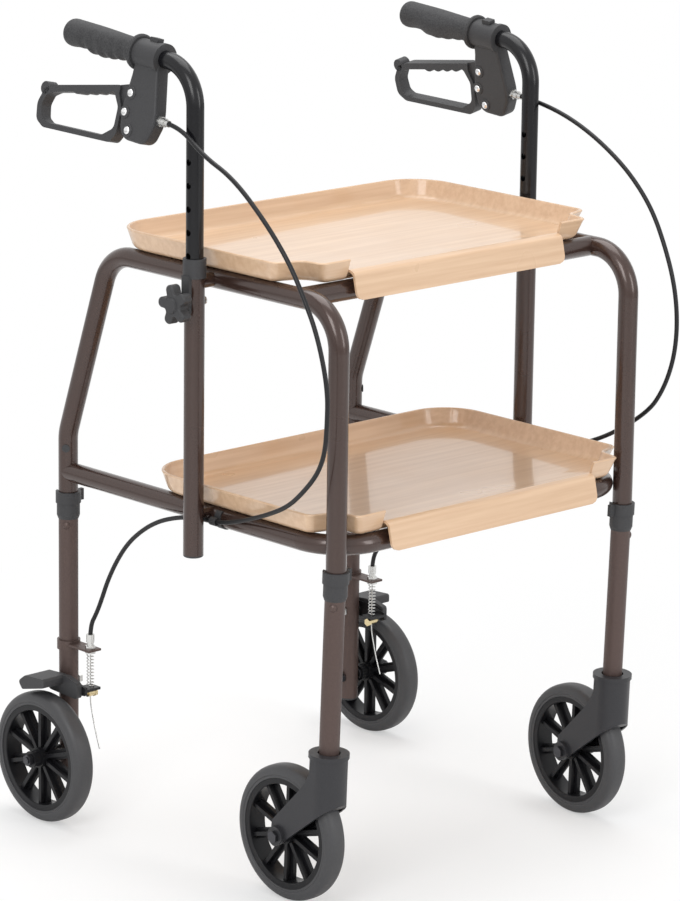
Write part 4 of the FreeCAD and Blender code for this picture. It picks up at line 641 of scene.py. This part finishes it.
def tray(name, place, body):
    shape = bmesh.new()
    rings = []
    for lean, z in tray_stations():
        chain = tray_chain(lean)
        rings.append([(spot.x / 1000, spot.y / 1000, (TRAY_BASE + z) / 1000) for spot in chain])
    made = add_rings(shape, rings, False)
    shape.faces.new(made[0])
    shape.faces.new(made[-1])
    for k in (0, -1):
        shape.faces.new([ring[k] for ring in made])
    shape.faces.new((made[0][0], made[0][-1], made[-1][-1], made[-1][0]))
    above = lip_sheet(shape, LIP_TOP, 0.0)
    under = lip_sheet(shape, LIP_UNDER, 0.0)
    rims = [above[0], [row[-1] for row in above], above[-1][::-1], [row[0] for row in above][::-1]]
    backs = [under[0], [row[-1] for row in under], under[-1][::-1], [row[0] for row in under][::-1]]
    for rim, back in zip(rims, backs):
        for k in range(len(rim) - 1):
            shape.faces.new((rim[k], rim[k + 1], back[k + 1], back[k]))
    shape.transform(Matrix.Translation(place))
    finish_piece(f"{name}_moulding", shape, finishes["tray"], body, [name], 0.0006)


for side, left in (("right", False), ("left", True)):
    grip(side, left)
    lever(side, left)
    rivets(side, left)
    for kind in ("caster", "rear"):
        tyre(kind, side)
tray("upper_tray", (0.0, -0.1793, 0.661), "upper_tray")
tray("lower_tray", (0.0, -0.238, 0.4013), "lower_tray")


# Camera, light and ground
def softbox(name, spot, aim, width, height, power):
    lamp = bpy.data.lights.new(name, "AREA")
    lamp.shape = "RECTANGLE"
    lamp.size = width
    lamp.size_y = height
    lamp.energy = power
    holder = bpy.data.objects.new(name, lamp)
    scene.collection.objects.link(holder)
    holder.location = spot
    holder.rotation_mode = "QUATERNION"
    holder.rotation_quaternion = (Vector(aim) - Vector(spot)).to_track_quat("-Z", "Y")


def ground():
    """A plain pale floor that keeps the soft shadow near the wheels and is white further out."""
    shape = bmesh.new()
    bmesh.ops.create_grid(shape, x_segments=1, y_segments=1, size=30.0)
    mesh = bpy.data.meshes.new("floor")
    shape.to_mesh(mesh)
    shape.free()
    floor = bpy.data.objects.new("floor", mesh)
    floor.location.z = -0.0005
    scene.collection.objects.link(floor)
    finish = bpy.data.materials.new("floor")
    finish.use_nodes = True
    tree = finish.node_tree
    matt = tree.nodes.new("ShaderNodeBsdfDiffuse")
    matt.inputs["Color"].default_value = (0.92, 0.92, 0.92, 1.0)
    white = tree.nodes.new("ShaderNodeEmission")
    white.inputs["Strength"].default_value = 1.0
    coordinates = tree.nodes.new("ShaderNodeTexCoord").outputs["Object"]
    reach = tree.nodes.new("ShaderNodeVectorMath")
    reach.operation = "LENGTH"
    link(tree, coordinates, reach.inputs[0])
    far = tree.nodes.new("ShaderNodeMapRange")
    far.inputs["From Min"].default_value = 0.35
    far.inputs["From Max"].default_value = 1.1
    far.inputs["To Min"].default_value = SHADOW_LIFT
    far.inputs["To Max"].default_value = 1.0
    link(tree, reach.outputs["Value"], far.inputs["Value"])
    path = tree.nodes.new("ShaderNodeLightPath")
    share = tree.nodes.new("ShaderNodeMath")
    share.operation = "MULTIPLY"
    link(tree, far.outputs["Result"], share.inputs[0])
    link(tree, path.outputs["Is Camera Ray"], share.inputs[1])
    mix = tree.nodes.new("ShaderNodeMixShader")
    link(tree, share.outputs["Value"], mix.inputs["Fac"])
    link(tree, matt.outputs["BSDF"], mix.inputs[1])
    link(tree, white.outputs["Emission"], mix.inputs[2])
    link(tree, mix.outputs["Shader"], tree.nodes["Material Output"].inputs["Surface"])
    paint(floor, finish)


def sky():
    """White behind the object and in its reflections, and an even grey light on it."""
    world = bpy.data.worlds.new("studio")
    world.use_nodes = True
    tree = world.node_tree
    seen = tree.nodes["Background"]
    seen.inputs["Color"].default_value = (1.0, 1.0, 1.0, 1.0)
    seen.inputs["Strength"].default_value = 1.0
    around = tree.nodes.new("ShaderNodeBackground")
    around.inputs["Color"].default_value = (*AMBIENT, 1.0)
    around.inputs["Strength"].default_value = 1.0
    path = tree.nodes.new("ShaderNodeLightPath")
    either = tree.nodes.new("ShaderNodeMath")
    either.operation = "MAXIMUM"
    link(tree, path.outputs["Is Camera Ray"], either.inputs[0])
    link(tree, path.outputs["Is Glossy Ray"], either.inputs[1])
    mix = tree.nodes.new("ShaderNodeMixShader")
    link(tree, either.outputs["Value"], mix.inputs["Fac"])
    link(tree, around.outputs["Background"], mix.inputs[1])
    link(tree, seen.outputs["Background"], mix.inputs[2])
    link(tree, mix.outputs["Shader"], tree.nodes["World Output"].inputs["Surface"])
    scene.world = world


ground()
sky()
softbox("key", (-3.2, -1.6, 2.6), (0, 0, 0.45), 1.6, 2.2, 60)
softbox("fill", (1.0, -4.0, 1.8), (0, 0, 0.45), 1.2, 2.4, 40)
softbox("top", (0.3, 0.4, 3.2), (0, 0, 0.4), 2.4, 2.4, 50)

CAMERA_PLACE = (-3.1407, -3.3356, 1.5773)
CAMERA_RIGHT = (0.72916, -0.68423, 0.01290)
CAMERA_UP = (0.15741, 0.18603, 0.96985)
CAMERA_BACK = (-0.66600, -0.70515, 0.24333)
camera = bpy.data.objects.new("camera", bpy.data.cameras.new("camera"))
scene.collection.objects.link(camera)
turn = Matrix((CAMERA_RIGHT, CAMERA_UP, CAMERA_BACK)).transposed().to_4x4()
camera.matrix_world = Matrix.Translation(CAMERA_PLACE) @ turn
camera.data.lens = 169.07
camera.data.sensor_width = 36.0
camera.data.clip_start = 0.1
camera.data.clip_end = 100.0
scene.camera = camera
scene.view_settings.view_transform = "Standard"
